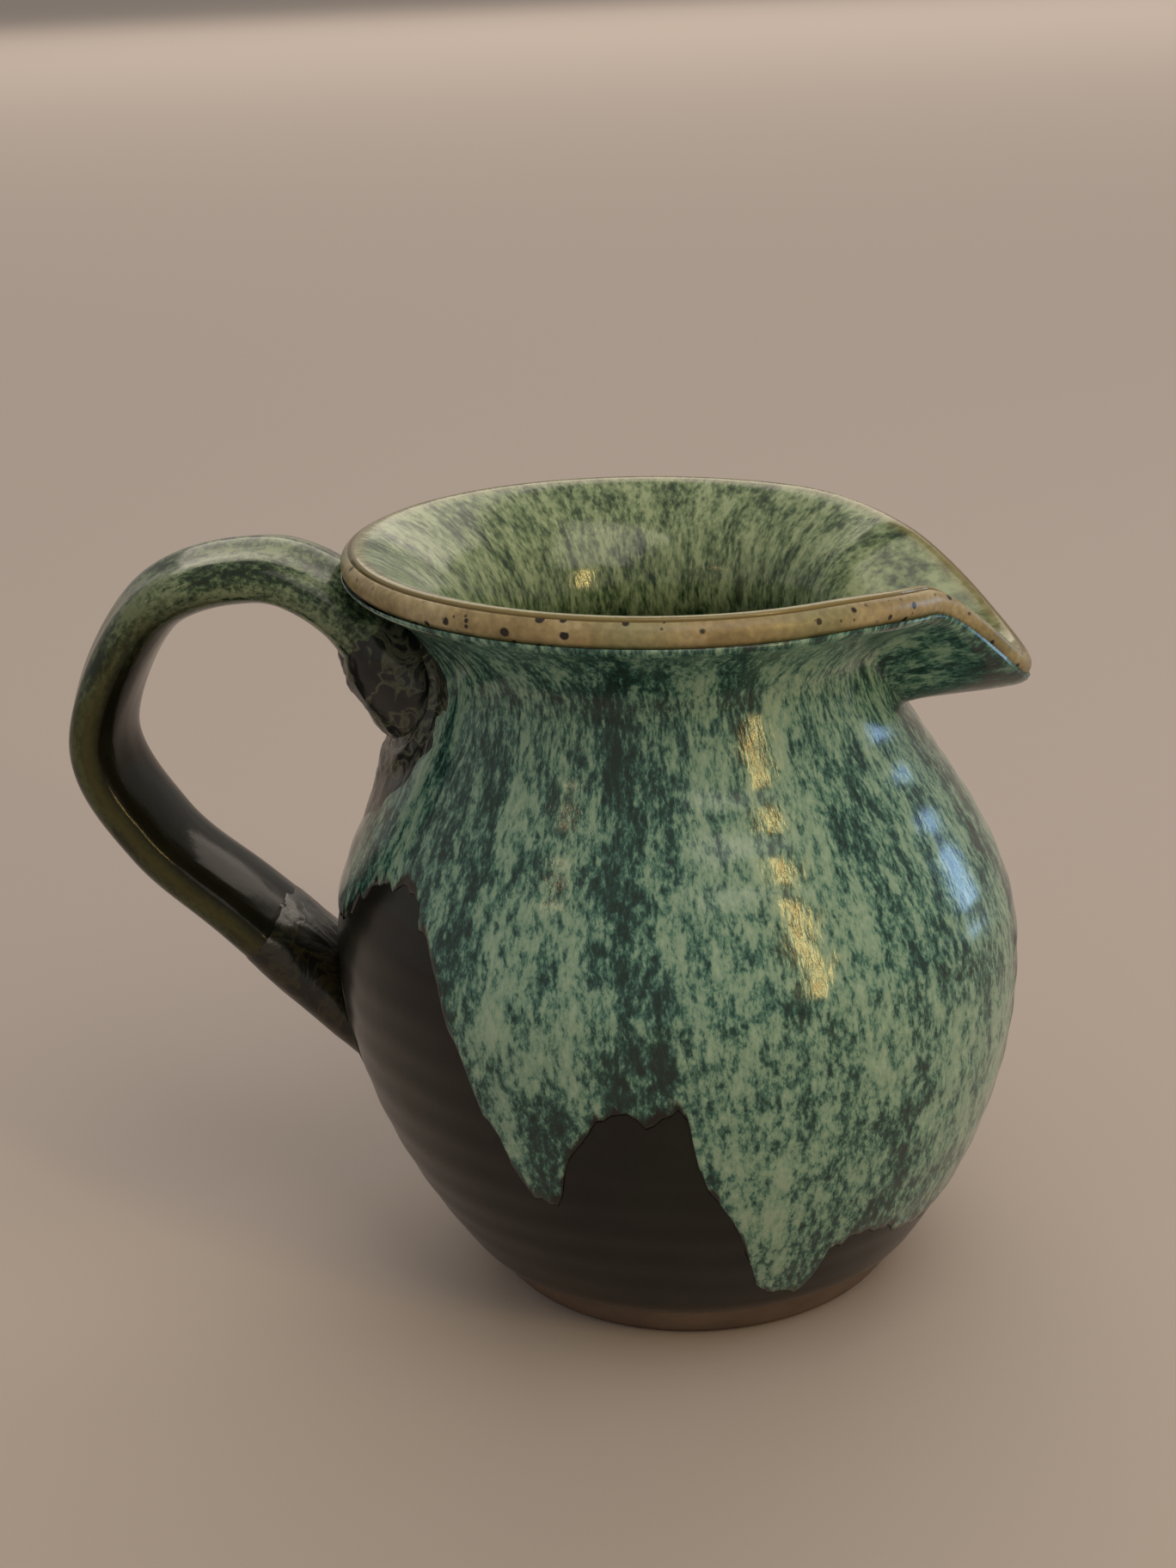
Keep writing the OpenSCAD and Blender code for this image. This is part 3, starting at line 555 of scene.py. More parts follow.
# --- Floating glaze --------------------------------------------------------------------------
# Green glaze poured over the dark one. It broke into sage and teal streaks as it ran down in the
# fire, and stopped in a ragged edge of drips that is highest beside the handle.
# Each pair: angle round the pot in degrees from the spout, and height of the edge in mm.
drip_edge = [(-180, 66), (-168, 66), (-156, 70), (-147, 77), (-139, 78), (-130, 72), (-124, 63),
             (-120, 53), (-115.5, 43), (-110, 32.5), (-105, 40), (-99.6, 49), (-95.3, 52),
             (-90.8, 49.5), (-86, 52), (-83, 38), (-78.7, 32), (-76.3, 24), (-67.4, 11.4), (-61.4, 12),
             (-59.2, 20), (-51.8, 21.8), (-40, 18), (-29, 17), (-14, 21), (-4, 34), (6, 28), (16, 19),
             (26, 30), (36, 38), (47, 29), (56, 40), (68, 24), (80, 15), (92, 27), (104, 44), (112, 37),
             (122, 56), (134, 73), (146, 77), (158, 69), (168, 66), (180, 66)]
turns = sorted(((a % 360) / 360 if a < 180 else 0.5, z) for a, z in drip_edge[1:])
seam = np.interp(0, [a for a, _ in drip_edge], [z for _, z in drip_edge])
turns = [(0, seam)] + turns + [(1, seam)]
curve = drip_curve.curves[0]
while len(curve.points) < len(turns):
    curve.points.new(0.5, 0.5)
for point, (turn, z) in zip(curve.points, turns):
    point.location = (turn, np.interp(z, outside_z, outside_run) / drip_span)
    point.handle_type = "AUTO_CLAMPED"
drip_curve.update()

# Sage over teal. Bands about 10 mm wide, streaks of 3 mm and a mottle of 1 mm add up, all drawn out the
# way the glaze ran. Where the sum is high the glaze is opaque sage, and where it is low the dark glaze
# shines through.
running_green, tree, shader = new_finish("glossy_streaked_sage_over_teal_glaze")
flow = add(tree, "ShaderNodeAttribute", attribute_name="flow", out=1)
above = add(tree, "ShaderNodeAttribute", attribute_name="above_edge", out=2)
below = add(tree, "ShaderNodeAttribute", attribute_name="below_top", out=2)


def stretched(tree, place, width, along, swing=0.0, **settings):
    """Noise of a width in mm, drawn out along the way the glaze runs, its streaks swinging sideways."""
    if swing:
        bend = add(tree, "ShaderNodeTexNoise",
                   {"Vector": place, "Scale": 1 / (4 * width * mm), "Detail": 1.0}, out=1)
        bend = add(tree, "ShaderNodeVectorMath", {0: bend, 1: (0.5, 0.5, 0.5)}, operation="SUBTRACT")
        bend = add(tree, "ShaderNodeVectorMath", {0: bend, "Scale": swing}, operation="SCALE")
        place = add(tree, "ShaderNodeVectorMath", {0: place, 1: bend}, operation="ADD")
    place = add(tree, "ShaderNodeVectorMath", {0: place, 1: (1, 1, along)}, operation="MULTIPLY")
    return add(tree, "ShaderNodeTexNoise", {"Vector": place, "Scale": 1 / (width * mm), **settings})


bands = stretched(tree, flow, 10.53, 0.2, 6 * mm, Detail=1.0)
streaks = stretched(tree, flow, 3.45, 0.4, 2.5 * mm, Detail=4.0, Roughness=0.7)
mottle = stretched(tree, flow, 1.176, 0.55, 1.2 * mm, Detail=3.0, Roughness=0.75)
total = add(tree, "ShaderNodeMath", {0: bands, 1: 0.45}, operation="MULTIPLY")
total = add(tree, "ShaderNodeMath", {0: streaks, 1: 0.8, 2: total}, operation="MULTIPLY_ADD")
total = add(tree, "ShaderNodeMath", {0: mottle, 1: 0.8, 2: total}, operation="MULTIPLY_ADD")
neck = add(tree, "ShaderNodeMapRange", {0: below, 1: 0.0, 2: 0.05, 3: -0.02, 4: 0.02})
total = add(tree, "ShaderNodeMath", {0: total, 1: neck}, operation="ADD")
drips = add(tree, "ShaderNodeMapRange", {0: above, 1: 0.0, 2: 0.024, 3: -0.07, 4: 0.0})
total = add(tree, "ShaderNodeMath", {0: total, 1: drips}, operation="ADD")
total = add(tree, "ShaderNodeMapRange", {0: total, 1: 0.76, 2: 1.31})
green = add(tree, "ShaderNodeValToRGB", {0: total})
set_stops(green.node.color_ramp, ((0.1, "#162d28"), (0.3, "#214440"), (0.46, "#4c766a"),
                                  (0.6, "#7a9b88"), (0.92, "#97b09c")))
feather = stretched(tree, flow, 2.38, 0.3, Detail=3.0)
feather = add(tree, "ShaderNodeMath", {0: feather, 1: 0.009, 2: above}, operation="MULTIPLY_ADD")
cover = add(tree, "ShaderNodeMapRange", {0: feather, 1: 0.0051, 2: 0.0066})
paint = add(tree, "ShaderNodeMix", {0: cover, 6: iron_glaze(tree, flow), 7: green}, out=2, data_type="RGBA")
tree.links.new(paint, shader.inputs["Base Color"])
relief = add(tree, "ShaderNodeBump", {"Strength": 0.35, "Distance": 0.25 * mm, "Height": streaks})
tree.links.new(relief, shader.inputs["Normal"])
shader.inputs["Roughness"].default_value = 0.16
shader.inputs["IOR"].default_value = 1.52

# It lies on the dark glaze, a hundredth of a millimetre off its outer skin.
on_base = coat_gap + coat_film + 0.01
outside, _ = wall_object("outside_of_wall", [outside_line(0), outside_line(1)])
build("running_green_glaze", outside, running_glaze, ["floating_glaze"], "green_glaze",
      rows=150, turns=280, drips=1.0, ragged=10 * mm, lift=on_base * mm, taper=2.2 * mm,
      top=float(outside_run[-1]), side=-1.0, finish=running_green)

# --- Liner glaze -----------------------------------------------------------------------------
# Pale green glaze poured in, swilled round and poured out: one film from the middle of the floor up
# over the flared rim to the lip, freckled with dark iron spots.
def inside_line(pull):
    """The inside of the wall, from the middle of the floor up over the lip to its outer third."""
    points, rim = clay_section(pull)
    start = int(np.argmin(np.linalg.norm(points - wall_line(pull)[2][-4], axis=1)))
    return points[start:][::-1], rim[start:][::-1]


pale_green, tree, shader = new_finish("glossy_pale_green_glaze_iron_freckles")
flow = add(tree, "ShaderNodeAttribute", attribute_name="flow", out=1)
below = add(tree, "ShaderNodeAttribute", attribute_name="below_top", out=2)
streaks = stretched(tree, flow, 3.85, 0.6, 2.5 * mm, Detail=4.0, Roughness=0.68)
mottle = stretched(tree, flow, 1.11, 0.7, Detail=2.0, Roughness=0.6)
total = add(tree, "ShaderNodeMath", {0: mottle, 1: 0.6, 2: streaks}, operation="MULTIPLY_ADD")
green = add(tree, "ShaderNodeValToRGB", {0: total})
set_stops(green.node.color_ramp, ((0.58, "#243c2e"), (0.7, "#4f6247"), (0.81, "#768a68"),
                                  (0.95, "#9bab88")))
freckle = add(tree, "ShaderNodeVectorMath", {0: flow, 1: (1, 1, 0.6)}, operation="MULTIPLY")
freckle = add(tree, "ShaderNodeTexVoronoi", {"Vector": freckle, "Scale": 1 / (4.76 * mm)})
chance = add(tree, "ShaderNodeSeparateColor", {0: freckle.node.outputs["Color"]})
size = add(tree, "ShaderNodeMapRange", {0: chance, 1: 0.82, 2: 1.0, 4: 0.45})
freckle = add(tree, "ShaderNodeMath", {0: size, 1: freckle}, operation="SUBTRACT")
freckle = add(tree, "ShaderNodeMapRange", {0: freckle, 1: 0.0, 2: 0.15, 4: 0.75})
paint = add(tree, "ShaderNodeMix", {0: freckle, 6: green, 7: colour("#1f3026")}, out=2, data_type="RGBA")
# From the throat down into the pot the liner is multiplied by dark olive: partly the glaze's olive tint,
# partly painted shade inside the pot.
deep = add(tree, "ShaderNodeMapRange", {0: below, 1: 0.014, 2: 0.05, 4: 0.8})
paint = add(tree, "ShaderNodeMix", {0: deep, 6: paint, 7: colour("#596b38")}, out=2, data_type="RGBA",
            blend_type="MULTIPLY")
thin = add(tree, "ShaderNodeMapRange", {0: below, 1: 0.0035, 2: 0.0005})
paint = add(tree, "ShaderNodeMix", {0: thin, 6: paint, 7: colour("#85764a")}, out=2, data_type="RGBA")
tree.links.new(paint, shader.inputs["Base Color"])
relief = add(tree, "ShaderNodeBump", {"Strength": 0.3, "Distance": 0.2 * mm, "Height": total})
tree.links.new(relief, shader.inputs["Normal"])
shader.inputs["Roughness"].default_value = 0.14
shader.inputs["IOR"].default_value = 1.52

inside, inside_run = wall_object("inside_of_wall", [inside_line(0), inside_line(1)])
build("pale_green_liner_glaze", inside, running_glaze, ["liner_glaze"], "celadon_glaze",
      taper=3 * mm, top=float(inside_run[-1]), side=1.0, finish=pale_green)

# --- Handle ----------------------------------------------------------------------------------
# A strap of the same clay, pulled by hand to a rounded section with a shallow thumb groove down its
# back, thickest at the root, and looped from the shoulder over a crown down to the belly.
handle_out, handle_rise, strap_width, strap_thickness = 42.3, 3.2, 22, 9
# The glaze pattern's length along the strap and the radius that it is wrapped round, in mm.
pattern_length, pattern_radius = 165, 8
root, tail = np.array([-43.6, 104.2]), np.array([-56.5, 45.5])
crown = rim_height + handle_rise - strap_thickness / 2
back = -(belly_radius + handle_out) - math.tan(math.radians(lean)) * shoulder_height + strap_thickness / 2


def between(a, b, t):
    """The value that lies a share t of the way from a to b."""
    return a + (b - a) * t


turning_points = np.array([
    root, (root[0] - 10, crown - 6), (between(root[0], back, 0.445), crown),
    (between(root[0], back, 0.79), crown - 5.6), (back, between(tail[1], crown, 0.64)),
    (back + 7.7, between(tail[1], crown, 0.405)),
    (between(tail[0], back, 0.45), tail[1] + 17), tail])


def strap_path(share):
    """A point of the strap's middle line, 0 at the root and 1 at the tail, as x and z in mm."""
    n = len(turning_points) - 1
    i = min(int(share * n), n - 1)
    t = share * n - i
    p0, p1, p2, p3 = (turning_points[k] for k in (max(i - 1, 0), i, i + 1, min(i + 2, n)))
    return 0.5 * (2 * p1 + t * (p2 - p0) + t * t * (2 * p0 - 5 * p1 + 4 * p2 - p3)
                  + t ** 3 * (3 * p1 - p0 - 3 * p2 + p3))


def strap_frame(share):
    """Middle, way along and way out of the strap at a share of its length."""
    x, z = strap_path(share)
    step = strap_path(min(share + 0.01, 1)) - strap_path(max(share - 0.01, 0))
    ahead = Vector((step[0], 0, step[1])).normalized()
    return Vector((x, 0, z)), ahead, ahead.cross(Vector((0, 1, 0))) * -1


# What the strap gains in width and thickness at its root and its tail, and the share of its length
# over which it gains it.
root_gain, root_run = (2, 12), 0.2
tail_gain, tail_run = (5, 2), 0.25


def strap_line(name, shares, open_ends):
    """The strap's middle line with its width, thickness and length at each point."""
    frames = [strap_frame(u) for u in shares]
    size = []
    for u in shares:
        at_root, at_tail = max(1 - u / root_run, 0) ** 2, max(1 - (1 - u) / tail_run, 0) ** 2
        width = strap_width + root_gain[0] * at_root + tail_gain[0] * at_tail
        thickness = strap_thickness + root_gain[1] * at_root + tail_gain[1] * at_tail
        size.append((width * mm / 2, thickness * mm / 2, u))
    if not open_ends:
        frames, size = frames[:1] + frames + frames[-1:], size[:1] + size + size[-1:]
        size[0], size[-1] = (0, 0, size[0][2]), (0, 0, size[-1][2])
    return line_object(name, [f[0] for f in frames], ahead=[f[1] for f in frames], size=size)


# The strap: the section is a squarish oval. Its back has a groove either side of a low ridge, and its
# inner face is hollowed. With a thickness it becomes a coat of glaze over that shape.
pulled_strap = bpy.data.node_groups.new("pulled strap", "GeometryNodeTree")
tree = pulled_strap
ask(tree, "Path", "Geometry")
ask(tree, "Turns", "Int", 72)
for name, value in (("Squareness", 0.9), ("Groove", 0.45 * mm), ("Hollow", 0.5 * mm), ("Wobble", 0.7 * mm),
                    ("Thickness", 0), ("Taper", 0.02)):
    ask(tree, name, "Float", value)
ask(tree, "Finish", "Material")
given = tree.nodes.new("NodeGroupInput").outputs
rows = add(tree, "GeometryNodeAttributeDomainSize", {0: given["Path"]})
mesh, row, angle = turned_grid(tree, rows, given["Turns"])
at_row = {}
for name, value in (("middle", add(tree, "GeometryNodeInputPosition")), ("ahead", named(tree, "ahead")),
                    ("size", named(tree, "size"))):
    at_row[name] = add(tree, "GeometryNodeSampleIndex",
                       {"Geometry": given["Path"], "Value": value, "Index": row}, data_type="FLOAT_VECTOR")
size = add(tree, "ShaderNodeSeparateXYZ", {0: at_row["size"]}).node.outputs


def rounded(tree, wave, power):
    """A sine or cosine with its peaks widened, so that a circle becomes a squarish oval."""
    height = add(tree, "ShaderNodeMath", {0: wave}, operation="ABSOLUTE")
    height = add(tree, "ShaderNodeMath", {0: height, 1: power}, operation="POWER")
    sign = add(tree, "ShaderNodeMath", {0: wave}, operation="SIGN")
    return add(tree, "ShaderNodeMath", {0: height, 1: sign}, operation="MULTIPLY")


cosine = add(tree, "ShaderNodeMath", {0: angle}, operation="COSINE")
sine = add(tree, "ShaderNodeMath", {0: angle}, operation="SINE")
wide = rounded(tree, cosine, given["Squareness"])
tall = rounded(tree, sine, given["Squareness"])
ridge = add(tree, "ShaderNodeMath", {0: wide, 1: 2 * math.pi}, operation="MULTIPLY")
ridge = add(tree, "ShaderNodeMath", {0: ridge}, operation="COSINE")
ridge = add(tree, "ShaderNodeMath", {0: ridge, 1: given["Groove"]}, operation="MULTIPLY")
on_back = add(tree, "ShaderNodeMath", {0: sine, 1: 0.0}, operation="MAXIMUM")
ridge = add(tree, "ShaderNodeMath", {0: ridge, 1: on_back}, operation="MULTIPLY")
on_inside = add(tree, "ShaderNodeMath", {0: sine, 1: 0.0}, operation="MINIMUM")
hollow = add(tree, "ShaderNodeMath", {0: on_inside, 1: given["Hollow"]}, operation="MULTIPLY")
hollow = add(tree, "ShaderNodeMath", {0: hollow, 1: on_inside}, operation="MULTIPLY")
deep = add(tree, "ShaderNodeMath", {0: tall, 1: size[1], 2: ridge}, operation="MULTIPLY_ADD")
deep = add(tree, "ShaderNodeMath", {0: deep, 1: hollow}, operation="ADD")
whole = add(tree, "ShaderNodeMath", {0: size[0], 1: 1000}, operation="MULTIPLY", use_clamp=True)
uneven = add(tree, "ShaderNodeCombineXYZ", {0: cosine, 1: sine})
uneven = add(tree, "ShaderNodeVectorMath", {0: uneven, "Scale": 0.25}, operation="SCALE")
upwards = add(tree, "ShaderNodeCombineXYZ", {2: size[2]})
uneven = add(tree, "ShaderNodeVectorMath", {0: uneven, 1: upwards}, operation="ADD")
uneven = add(tree, "ShaderNodeTexNoise", {"Vector": uneven, "Scale": 5.0, "Detail": 2.0})
uneven = add(tree, "ShaderNodeMath", {0: uneven, 1: 0.5}, operation="SUBTRACT")
uneven = add(tree, "ShaderNodeMath", {0: uneven, 1: given["Wobble"]}, operation="MULTIPLY")
deep = add(tree, "ShaderNodeMath", {0: uneven, 1: sine, 2: deep}, operation="MULTIPLY_ADD")
deep = add(tree, "ShaderNodeMath", {0: deep, 1: whole}, operation="MULTIPLY")
wide = add(tree, "ShaderNodeMath", {0: wide, 1: size[0]}, operation="MULTIPLY")
outward = add(tree, "ShaderNodeVectorMath", {0: (0, 1, 0), 1: at_row["ahead"]}, operation="CROSS_PRODUCT")
across = add(tree, "ShaderNodeCombineXYZ", {1: wide})
place = add(tree, "ShaderNodeVectorMath", {0: outward, "Scale": deep}, operation="SCALE")
place = add(tree, "ShaderNodeVectorMath", {0: place, 1: across}, operation="ADD")
place = add(tree, "ShaderNodeVectorMath", {0: place, 1: at_row["middle"]}, operation="ADD")
mesh = add(tree, "GeometryNodeSetPosition", {"Geometry": mesh, "Position": place})
run = add(tree, "ShaderNodeMath", {0: size[2], 1: pattern_length * mm}, operation="MULTIPLY")
flow = add(tree, "ShaderNodeCombineXYZ", {0: cosine, 1: sine})
flow = add(tree, "ShaderNodeVectorMath", {0: flow, "Scale": pattern_radius * mm}, operation="SCALE")
upwards = add(tree, "ShaderNodeCombineXYZ", {2: run})
flow = add(tree, "ShaderNodeVectorMath", {0: flow, 1: upwards}, operation="ADD")
mesh = store(tree, mesh, "flow", flow)
mesh = store(tree, mesh, "along", size[2], "FLOAT")
mesh = store(tree, mesh, "facing_out", sine, "FLOAT")
last = add(tree, "FunctionNodeIntegerMath", {0: rows, 1: 1}, operation="SUBTRACT")
share = add(tree, "ShaderNodeMath", {0: row, 1: last}, operation="DIVIDE")
film = add(tree, "ShaderNodeMath", {0: 1.0, 1: share}, operation="SUBTRACT")
film = add(tree, "ShaderNodeMath", {0: film, 1: share}, operation="MINIMUM")
film = add(tree, "ShaderNodeMath", {0: film, 1: given["Taper"]}, operation="DIVIDE", use_clamp=True)
mesh = store(tree, mesh, "film", film, "FLOAT")
mesh = add(tree, "GeometryNodeMergeByDistance", {"Geometry": mesh, "Distance": weld})
glazed = add(tree, "ShaderNodeMath", {0: given["Thickness"], 1: 0.0}, operation="GREATER_THAN")
coat = group(tree, two_skins, {"Sheet": mesh, "Thickness": given["Thickness"]})
mesh = add(tree, "GeometryNodeSwitch", {0: glazed, 1: mesh, 2: coat["Coat"]}, input_type="GEOMETRY")
finished(tree, mesh, given["Finish"])

# The strap's clay, iron brown. It shows only where the glaze on it thins out at both ends.
strap_clay, tree, shader = new_finish("iron_stoneware_strap")
place = add(tree, "ShaderNodeTexCoord", out="Object")
cloud = add(tree, "ShaderNodeTexNoise", {"Vector": place, "Scale": 1 / (3.33 * mm), "Detail": 4.0})
tree.links.new(add(tree, "ShaderNodeMix", {0: cloud, 6: colour("#2c2219"), 7: colour("#5a4732")}, out=2,
                   data_type="RGBA"), shader.inputs["Base Color"])
shader.inputs["Roughness"].default_value = 0.5

root_share, tail_share = 0.06, 0.9
shares = np.linspace(root_share, tail_share, 150)
strap = build("pulled_strap_handle", strap_line("strap_middle", shares, False), pulled_strap, ["handle"],
              "strap_clay", finish=strap_clay)
# Both ends are pushed on until they are just inside the wall, where the clay was joined.
bpy.context.view_layer.update()
wall_shape = BVHTree.FromObject(body, bpy.context.evaluated_depsgraph_get())
along = np.zeros(len(strap.data.vertices))
strap.data.attributes["along"].data.foreach_get("value", along)
for end, way in ((root_share, -1), (tail_share, 1)):
    ahead = strap_frame(end)[1] * way
    for i in np.where(np.abs(along - end) < 1e-5)[0]:
        vertex = strap.data.vertices[i]
        hit = wall_shape.ray_cast(vertex.co, ahead)[0]
        if hit:
            vertex.co = hit + ahead * 1.5 * mm

# --- Handle glaze ----------------------------------------------------------------------------
# One glaze on the strap: sage and mottled on the arch, where the green was poured over it, and olive
# down the back. Below the arch its inner face is painted almost black: painted shade, where the loop faces
# the belly.
strap_green, tree, shader = new_finish("glossy_sage_to_olive_strap_glaze")
flow = add(tree, "ShaderNodeAttribute", attribute_name="flow", out=1)
along = add(tree, "ShaderNodeAttribute", attribute_name="along", out=2)
facing = add(tree, "ShaderNodeAttribute", attribute_name="facing_out", out=2)
streaks = stretched(tree, flow, 4.17, 0.4, 2 * mm, Detail=3.0, Roughness=0.65)
mottle = stretched(tree, flow, 1.11, 0.8, Detail=3.0, Roughness=0.7)
total = add(tree, "ShaderNodeMath", {0: mottle, 1: 0.8, 2: streaks}, operation="MULTIPLY_ADD")
sage = add(tree, "ShaderNodeValToRGB", {0: add(tree, "ShaderNodeMapRange", {0: total, 1: 0.7, 2: 1.1})})
set_stops(sage.node.color_ramp, ((0.1, "#1f2d22"), (0.4, "#41543d"), (0.6, "#64755a"), (0.9, "#808d70")))
olive = add(tree, "ShaderNodeMix", {0: add(tree, "ShaderNodeMapRange", {0: total, 1: 0.7, 2: 1.1}),
                                    6: colour("#1a1c10"), 7: colour("#4a5230")}, out=2, data_type="RGBA")
# Painted shade: near black for the strap's inner face below the arch.
black = add(tree, "ShaderNodeMix", {0: streaks, 6: colour("#0d0c08"), 7: colour("#1d1c12")}, out=2,
            data_type="RGBA")
patchy = add(tree, "ShaderNodeMath", {0: streaks, 1: 0.25, 2: along}, operation="MULTIPLY_ADD")
down_back = add(tree, "ShaderNodeMapRange", {0: patchy, 1: 0.5, 2: 0.68})
paint = add(tree, "ShaderNodeMix", {0: down_back, 6: sage, 7: olive}, out=2, data_type="RGBA")
# Where the painted shade lies: the inner face of the strap, past the arch.
inner = add(tree, "ShaderNodeMapRange", {0: facing, 1: 0.15, 2: -0.35})
past_arch = add(tree, "ShaderNodeMapRange", {0: patchy, 1: 0.42, 2: 0.62})
inner = add(tree, "ShaderNodeMath", {0: inner, 1: past_arch}, operation="MULTIPLY")
paint = add(tree, "ShaderNodeMix", {0: inner, 6: paint, 7: black}, out=2, data_type="RGBA")
edge = add(tree, "ShaderNodeMath", {0: facing, 1: 0.02}, operation="ADD")
edge = add(tree, "ShaderNodeMath", {0: edge}, operation="ABSOLUTE")
edge = add(tree, "ShaderNodeMapRange", {0: edge, 1: 0.3, 2: 0.0, 4: 0.8})
edge = add(tree, "ShaderNodeMath", {0: edge, 1: down_back}, operation="MULTIPLY")
paint = add(tree, "ShaderNodeMix", {0: edge, 6: paint, 7: colour("#423f1f")}, out=2, data_type="RGBA")
at_root = add(tree, "ShaderNodeMapRange", {0: patchy, 1: 0.24, 2: 0.16})
paint = add(tree, "ShaderNodeMix", {0: at_root, 6: paint, 7: colour("#24241b")}, out=2, data_type="RGBA")
tree.links.new(paint, shader.inputs["Base Color"])
shine = add(tree, "ShaderNodeMapRange", {0: inner, 3: 0.3, 4: 0.15})
tree.links.new(shine, shader.inputs["Specular IOR Level"])
relief = add(tree, "ShaderNodeBump", {"Strength": 0.35, "Distance": 0.2 * mm, "Height": streaks})
tree.links.new(relief, shader.inputs["Normal"])
shader.inputs["Roughness"].default_value = 0.15
shader.inputs["IOR"].default_value = 1.52

coated = np.linspace(root_share + 0.02, tail_share, 150)
build("sage_olive_strap_glaze", strap_line("strap_coat_middle", coated, True), pulled_strap,
      ["handle_glaze"], "sage_glaze", thickness=coat_film * mm, finish=strap_green)

# --- Upper joint -----------------------------------------------------------------------------
# Clay and slip smeared by thumb round the root of the strap onto the wall, and drawn down the
# shoulder to a point. It has swirled drag marks and a raised bead where the thumb pushed it up.
def smeared(name, start, end, way, reach, tongue, height, ridge, marks, finish, node):
    """A collar of clay from the strap onto the wall. It starts on the strap at a share of its length,
    follows it into the wall, and spreads over the wall: reach mm to each side and tongue mm down.
    Its middle, its bead and its drag marks stand up by height, ridge and marks, in mm."""
    strap_shape = BVHTree.FromObject(strap, bpy.context.evaluated_depsgraph_get())
    around, on_strap, on_wall, skirt = 112, 14, 26, 0.9
    ahead_end = strap_frame(end)[1] * way
    lines, normals = [], []
    for k in range(around):
        turn = 2 * math.pi * k / around
        line, out = [], []
        for share in np.linspace(start, end, on_strap):
            middle, _, outward = strap_frame(share)
            ray = Vector((0, 1, 0)) * math.cos(turn) + outward * math.sin(turn)
            hit, normal, _, _ = strap_shape.ray_cast(middle * mm, ray)
            line.append(hit)
            out.append(normal)
        crease = wall_shape.ray_cast(line[-1], ahead_end)[0]
        for step in np.linspace(0, 1, 6)[1:]:
            line.append(line[on_strap - 1].lerp(crease, step))
            out.append(out[on_strap - 1])
        lines.append(line)
        normals.append(out)
    centre = sum((line[-1] for line in lines), Vector()) / around
    first = len(lines[0])
    for line, out in zip(lines, normals):
        place = line[-1]
        _, wall_out, _, _ = wall_shape.find_nearest(place)
        heading = (place - centre)
        heading = (heading - wall_out * heading.dot(wall_out)).normalized()
        downward = max(-heading.z, 0) ** 3
        length = (reach + (tongue - reach) * downward) * mm
        for _ in range(on_wall):
            place = place + heading * length / on_wall
            place, wall_out, _, _ = wall_shape.find_nearest(place)
            heading = (heading - wall_out * heading.dot(wall_out)).normalized()
            line.append(place)
            out.append(wall_out)
    base_points = np.array([[list(p) for p in line] for line in lines])
    out = np.array([[list(p) for p in line] for line in normals])
    share = np.concatenate([np.linspace(-1, 0, first), np.linspace(0, 1, on_wall + 1)[1:]])
    down = np.clip((centre.z - base_points[:, -1, 2]) / (tongue * mm), 0, 1)[:, None]
    swell = np.where(share < 0, (1 + share) ** 2, (1 - share) ** 1.5)
    rise = np.clip((share + 1) * 1.6, 0, 1)[None]
    lift = (skirt + (height * (0.35 + 0.65 * down) - skirt) * swell[None]) * rise
    bead = (1 - 0.6 * down) * np.exp(-((share[None] - (0.45 - 0.1 * down)) / 0.09) ** 2) * ridge
    top = base_points + out * (lift + bead)[..., None] * mm
    for _ in range(5):
        top[:, 1:-1] = top[:, 1:-1] / 2 + (top[:, 2:] + top[:, :-2]) / 4
        top = top / 2 + (np.roll(top, 1, 0) + np.roll(top, -1, 0)) / 4
    for k in range(around):
        for j in range(1, top.shape[1] - 1):
            place = Vector(top[k, j])
            curl = noise.noise_vector(place / (5 * mm)) * 1.6
            mark = noise.noise(place / (2.6 * mm) + curl) + 0.5 * noise.noise(place / (1.1 * mm) + curl * 2)
            fade = min(1, 4 * (1 + share[j]), 1 - share[j])
            top[k, j] += out[k, j] * mark * marks * mm * fade
    under = base_points - out * 0.6 * mm
    under[:, 0], under[:, -1] = top[:, 0], top[:, -1]
    rows = top.shape[1]
    shape = bmesh.new()
    grid = [[[shape.verts.new(p) for p in line] for line in skin] for skin in (top, under[:, 1:-1])]
    grid[1] = [[grid[0][k][0]] + line + [grid[0][k][-1]] for k, line in enumerate(grid[1])]
    for skin in grid:
        for k in range(around):
            for j in range(rows - 1):
                a, b = skin[k], skin[(k + 1) % around]
                shape.faces.new((a[j], b[j], b[j + 1], a[j + 1])).smooth = True
    bmesh.ops.recalc_face_normals(shape, faces=shape.faces)
    for fold in shape.edges:
        fold.smooth = fold.calc_face_angle() < fold_angle
    mesh = bpy.data.meshes.new(name)
    shape.to_mesh(mesh)
    shape.free()
    smear = mesh.attributes.new("smear", "FLOAT", "POINT")
    values = np.concatenate([np.tile(share, around), np.tile(share[1:-1], around)])
    smear.data.foreach_set("value", values)
    mesh.materials.append(finish)
    piece = bpy.data.objects.new(name, mesh)
    scene.collection.objects.link(piece)
    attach(piece, "root")
    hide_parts(node)
    return piece


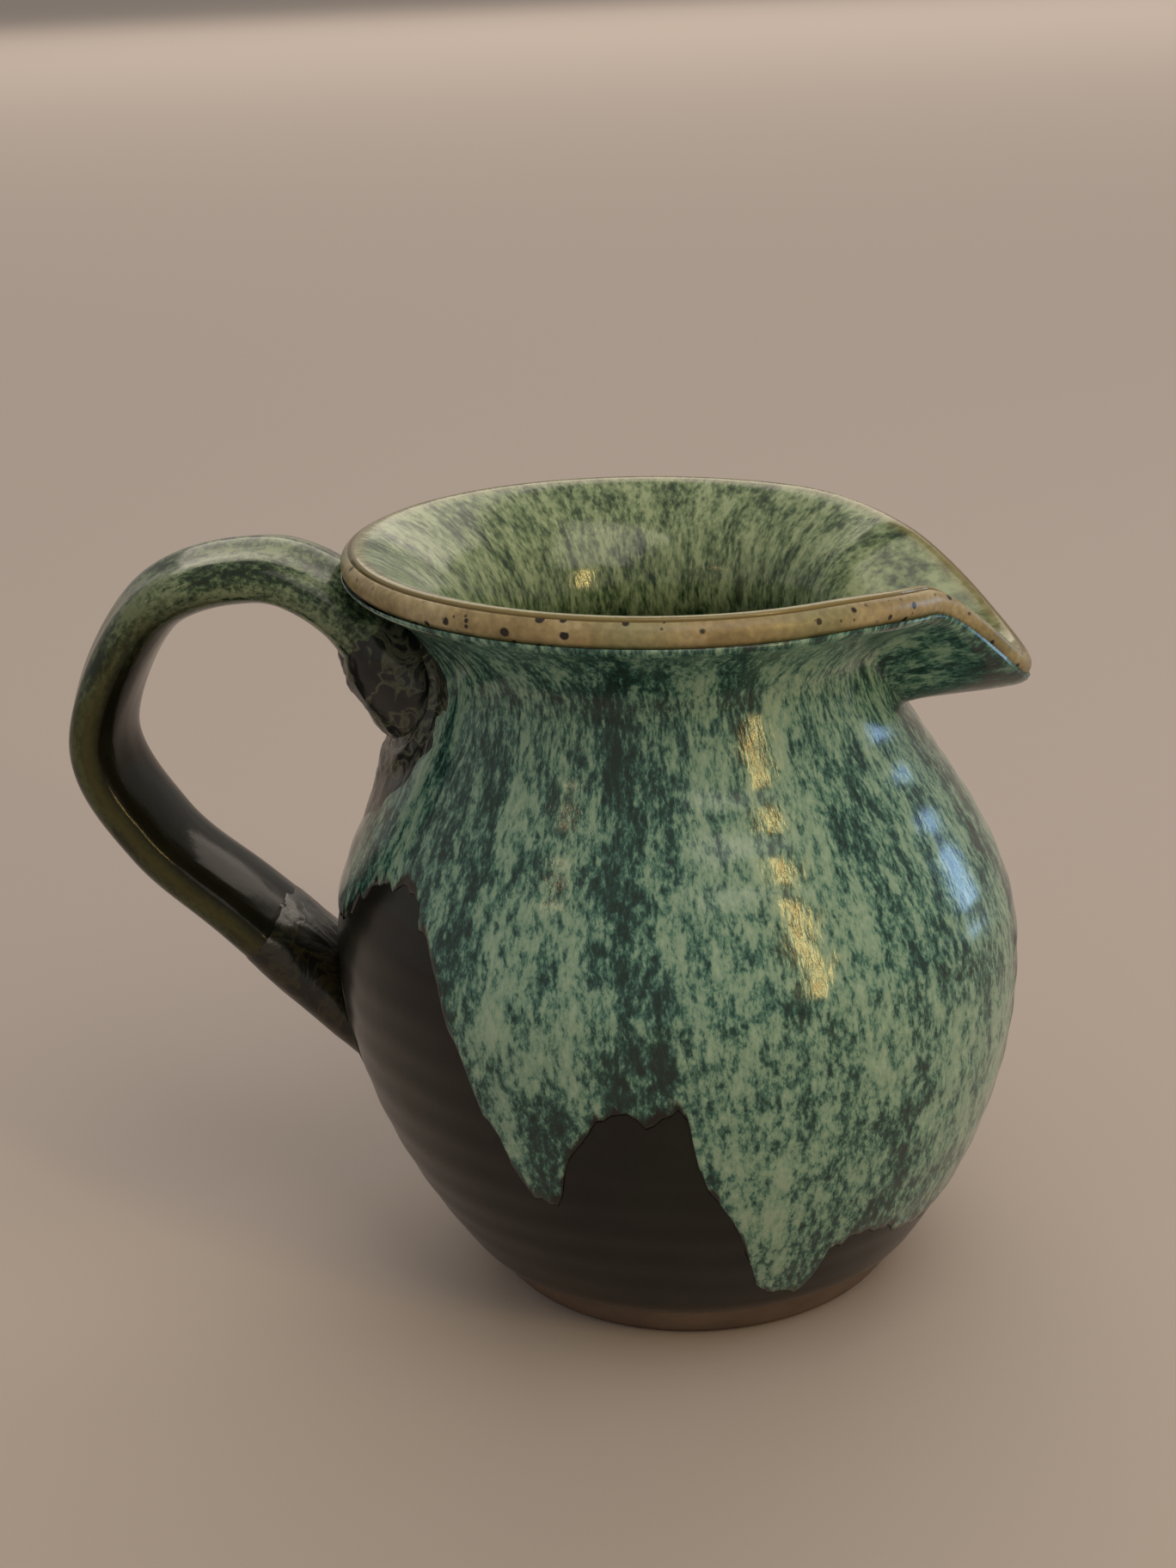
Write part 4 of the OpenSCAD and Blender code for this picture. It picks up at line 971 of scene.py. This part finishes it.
def slip_finish(name, dark, middle, pale):
    """Smeared slip under a thin glaze: charcoal, with paler drag marks that swirl through it."""
    finish, tree, shader = new_finish(name)
    place = add(tree, "ShaderNodeTexCoord", out="Object")
    curl = add(tree, "ShaderNodeTexNoise", {"Vector": place, "Scale": 1 / (6.25 * mm), "Detail": 1.0}, out=1)
    curl = add(tree, "ShaderNodeVectorMath", {0: curl, "Scale": 12 * mm}, operation="SCALE")
    place = add(tree, "ShaderNodeVectorMath", {0: place, 1: curl}, operation="ADD")
    swirl = add(tree, "ShaderNodeTexNoise",
                {"Vector": place, "Scale": 1 / (6.67 * mm), "Detail": 3.0, "Roughness": 0.6})
    line = add(tree, "ShaderNodeMath", {0: swirl, 1: 0.5}, operation="SUBTRACT")
    line = add(tree, "ShaderNodeMath", {0: line}, operation="ABSOLUTE")
    line = add(tree, "ShaderNodeMapRange", {0: line, 1: 0.06, 2: 0.0, 4: 0.75})
    paint = add(tree, "ShaderNodeMix", {0: swirl, 6: colour(dark), 7: colour(middle)}, out=2,
                data_type="RGBA")
    paint = add(tree, "ShaderNodeMix", {0: line, 6: paint, 7: colour(pale)}, out=2, data_type="RGBA")
    tree.links.new(paint, shader.inputs["Base Color"])
    relief = add(tree, "ShaderNodeBump", {"Strength": 0.6, "Distance": 0.4 * mm, "Height": swirl})
    tree.links.new(relief, shader.inputs["Normal"])
    shader.inputs["Roughness"].default_value = 0.24
    return finish


# Charcoal slip: glossy and nearly black, with tan-grey drag marks that catch the light.
upper_slip = slip_finish("smeared_charcoal_slip_tan_swirls", "#0b0d0d", "#262b29", "#666a56")
smeared("smeared_upper_joint", start=0.13, end=root_share, way=-1, reach=10, tongue=24, height=4.5,
        ridge=1.3, marks=0.5, finish=upper_slip, node="upper_joint")

# --- Lower joint -----------------------------------------------------------------------------
# The same clay and slip in a smaller smear: the tail of the strap is pressed onto the low belly and
# wiped off below. It is painted nearly black: dark slip with painted shade, where the loop shades the belly.
# Black slip with painted shade: the same gloss, with drag marks that hardly show.
lower_slip = slip_finish("smeared_black_slip", "#0c0b08", "#1e1c13", "#39341f")
smeared("smeared_lower_joint", start=0.86, end=tail_share, way=1, reach=3, tongue=7, height=1.6,
        ridge=0.2, marks=0.15, finish=lower_slip, node="lower_joint")
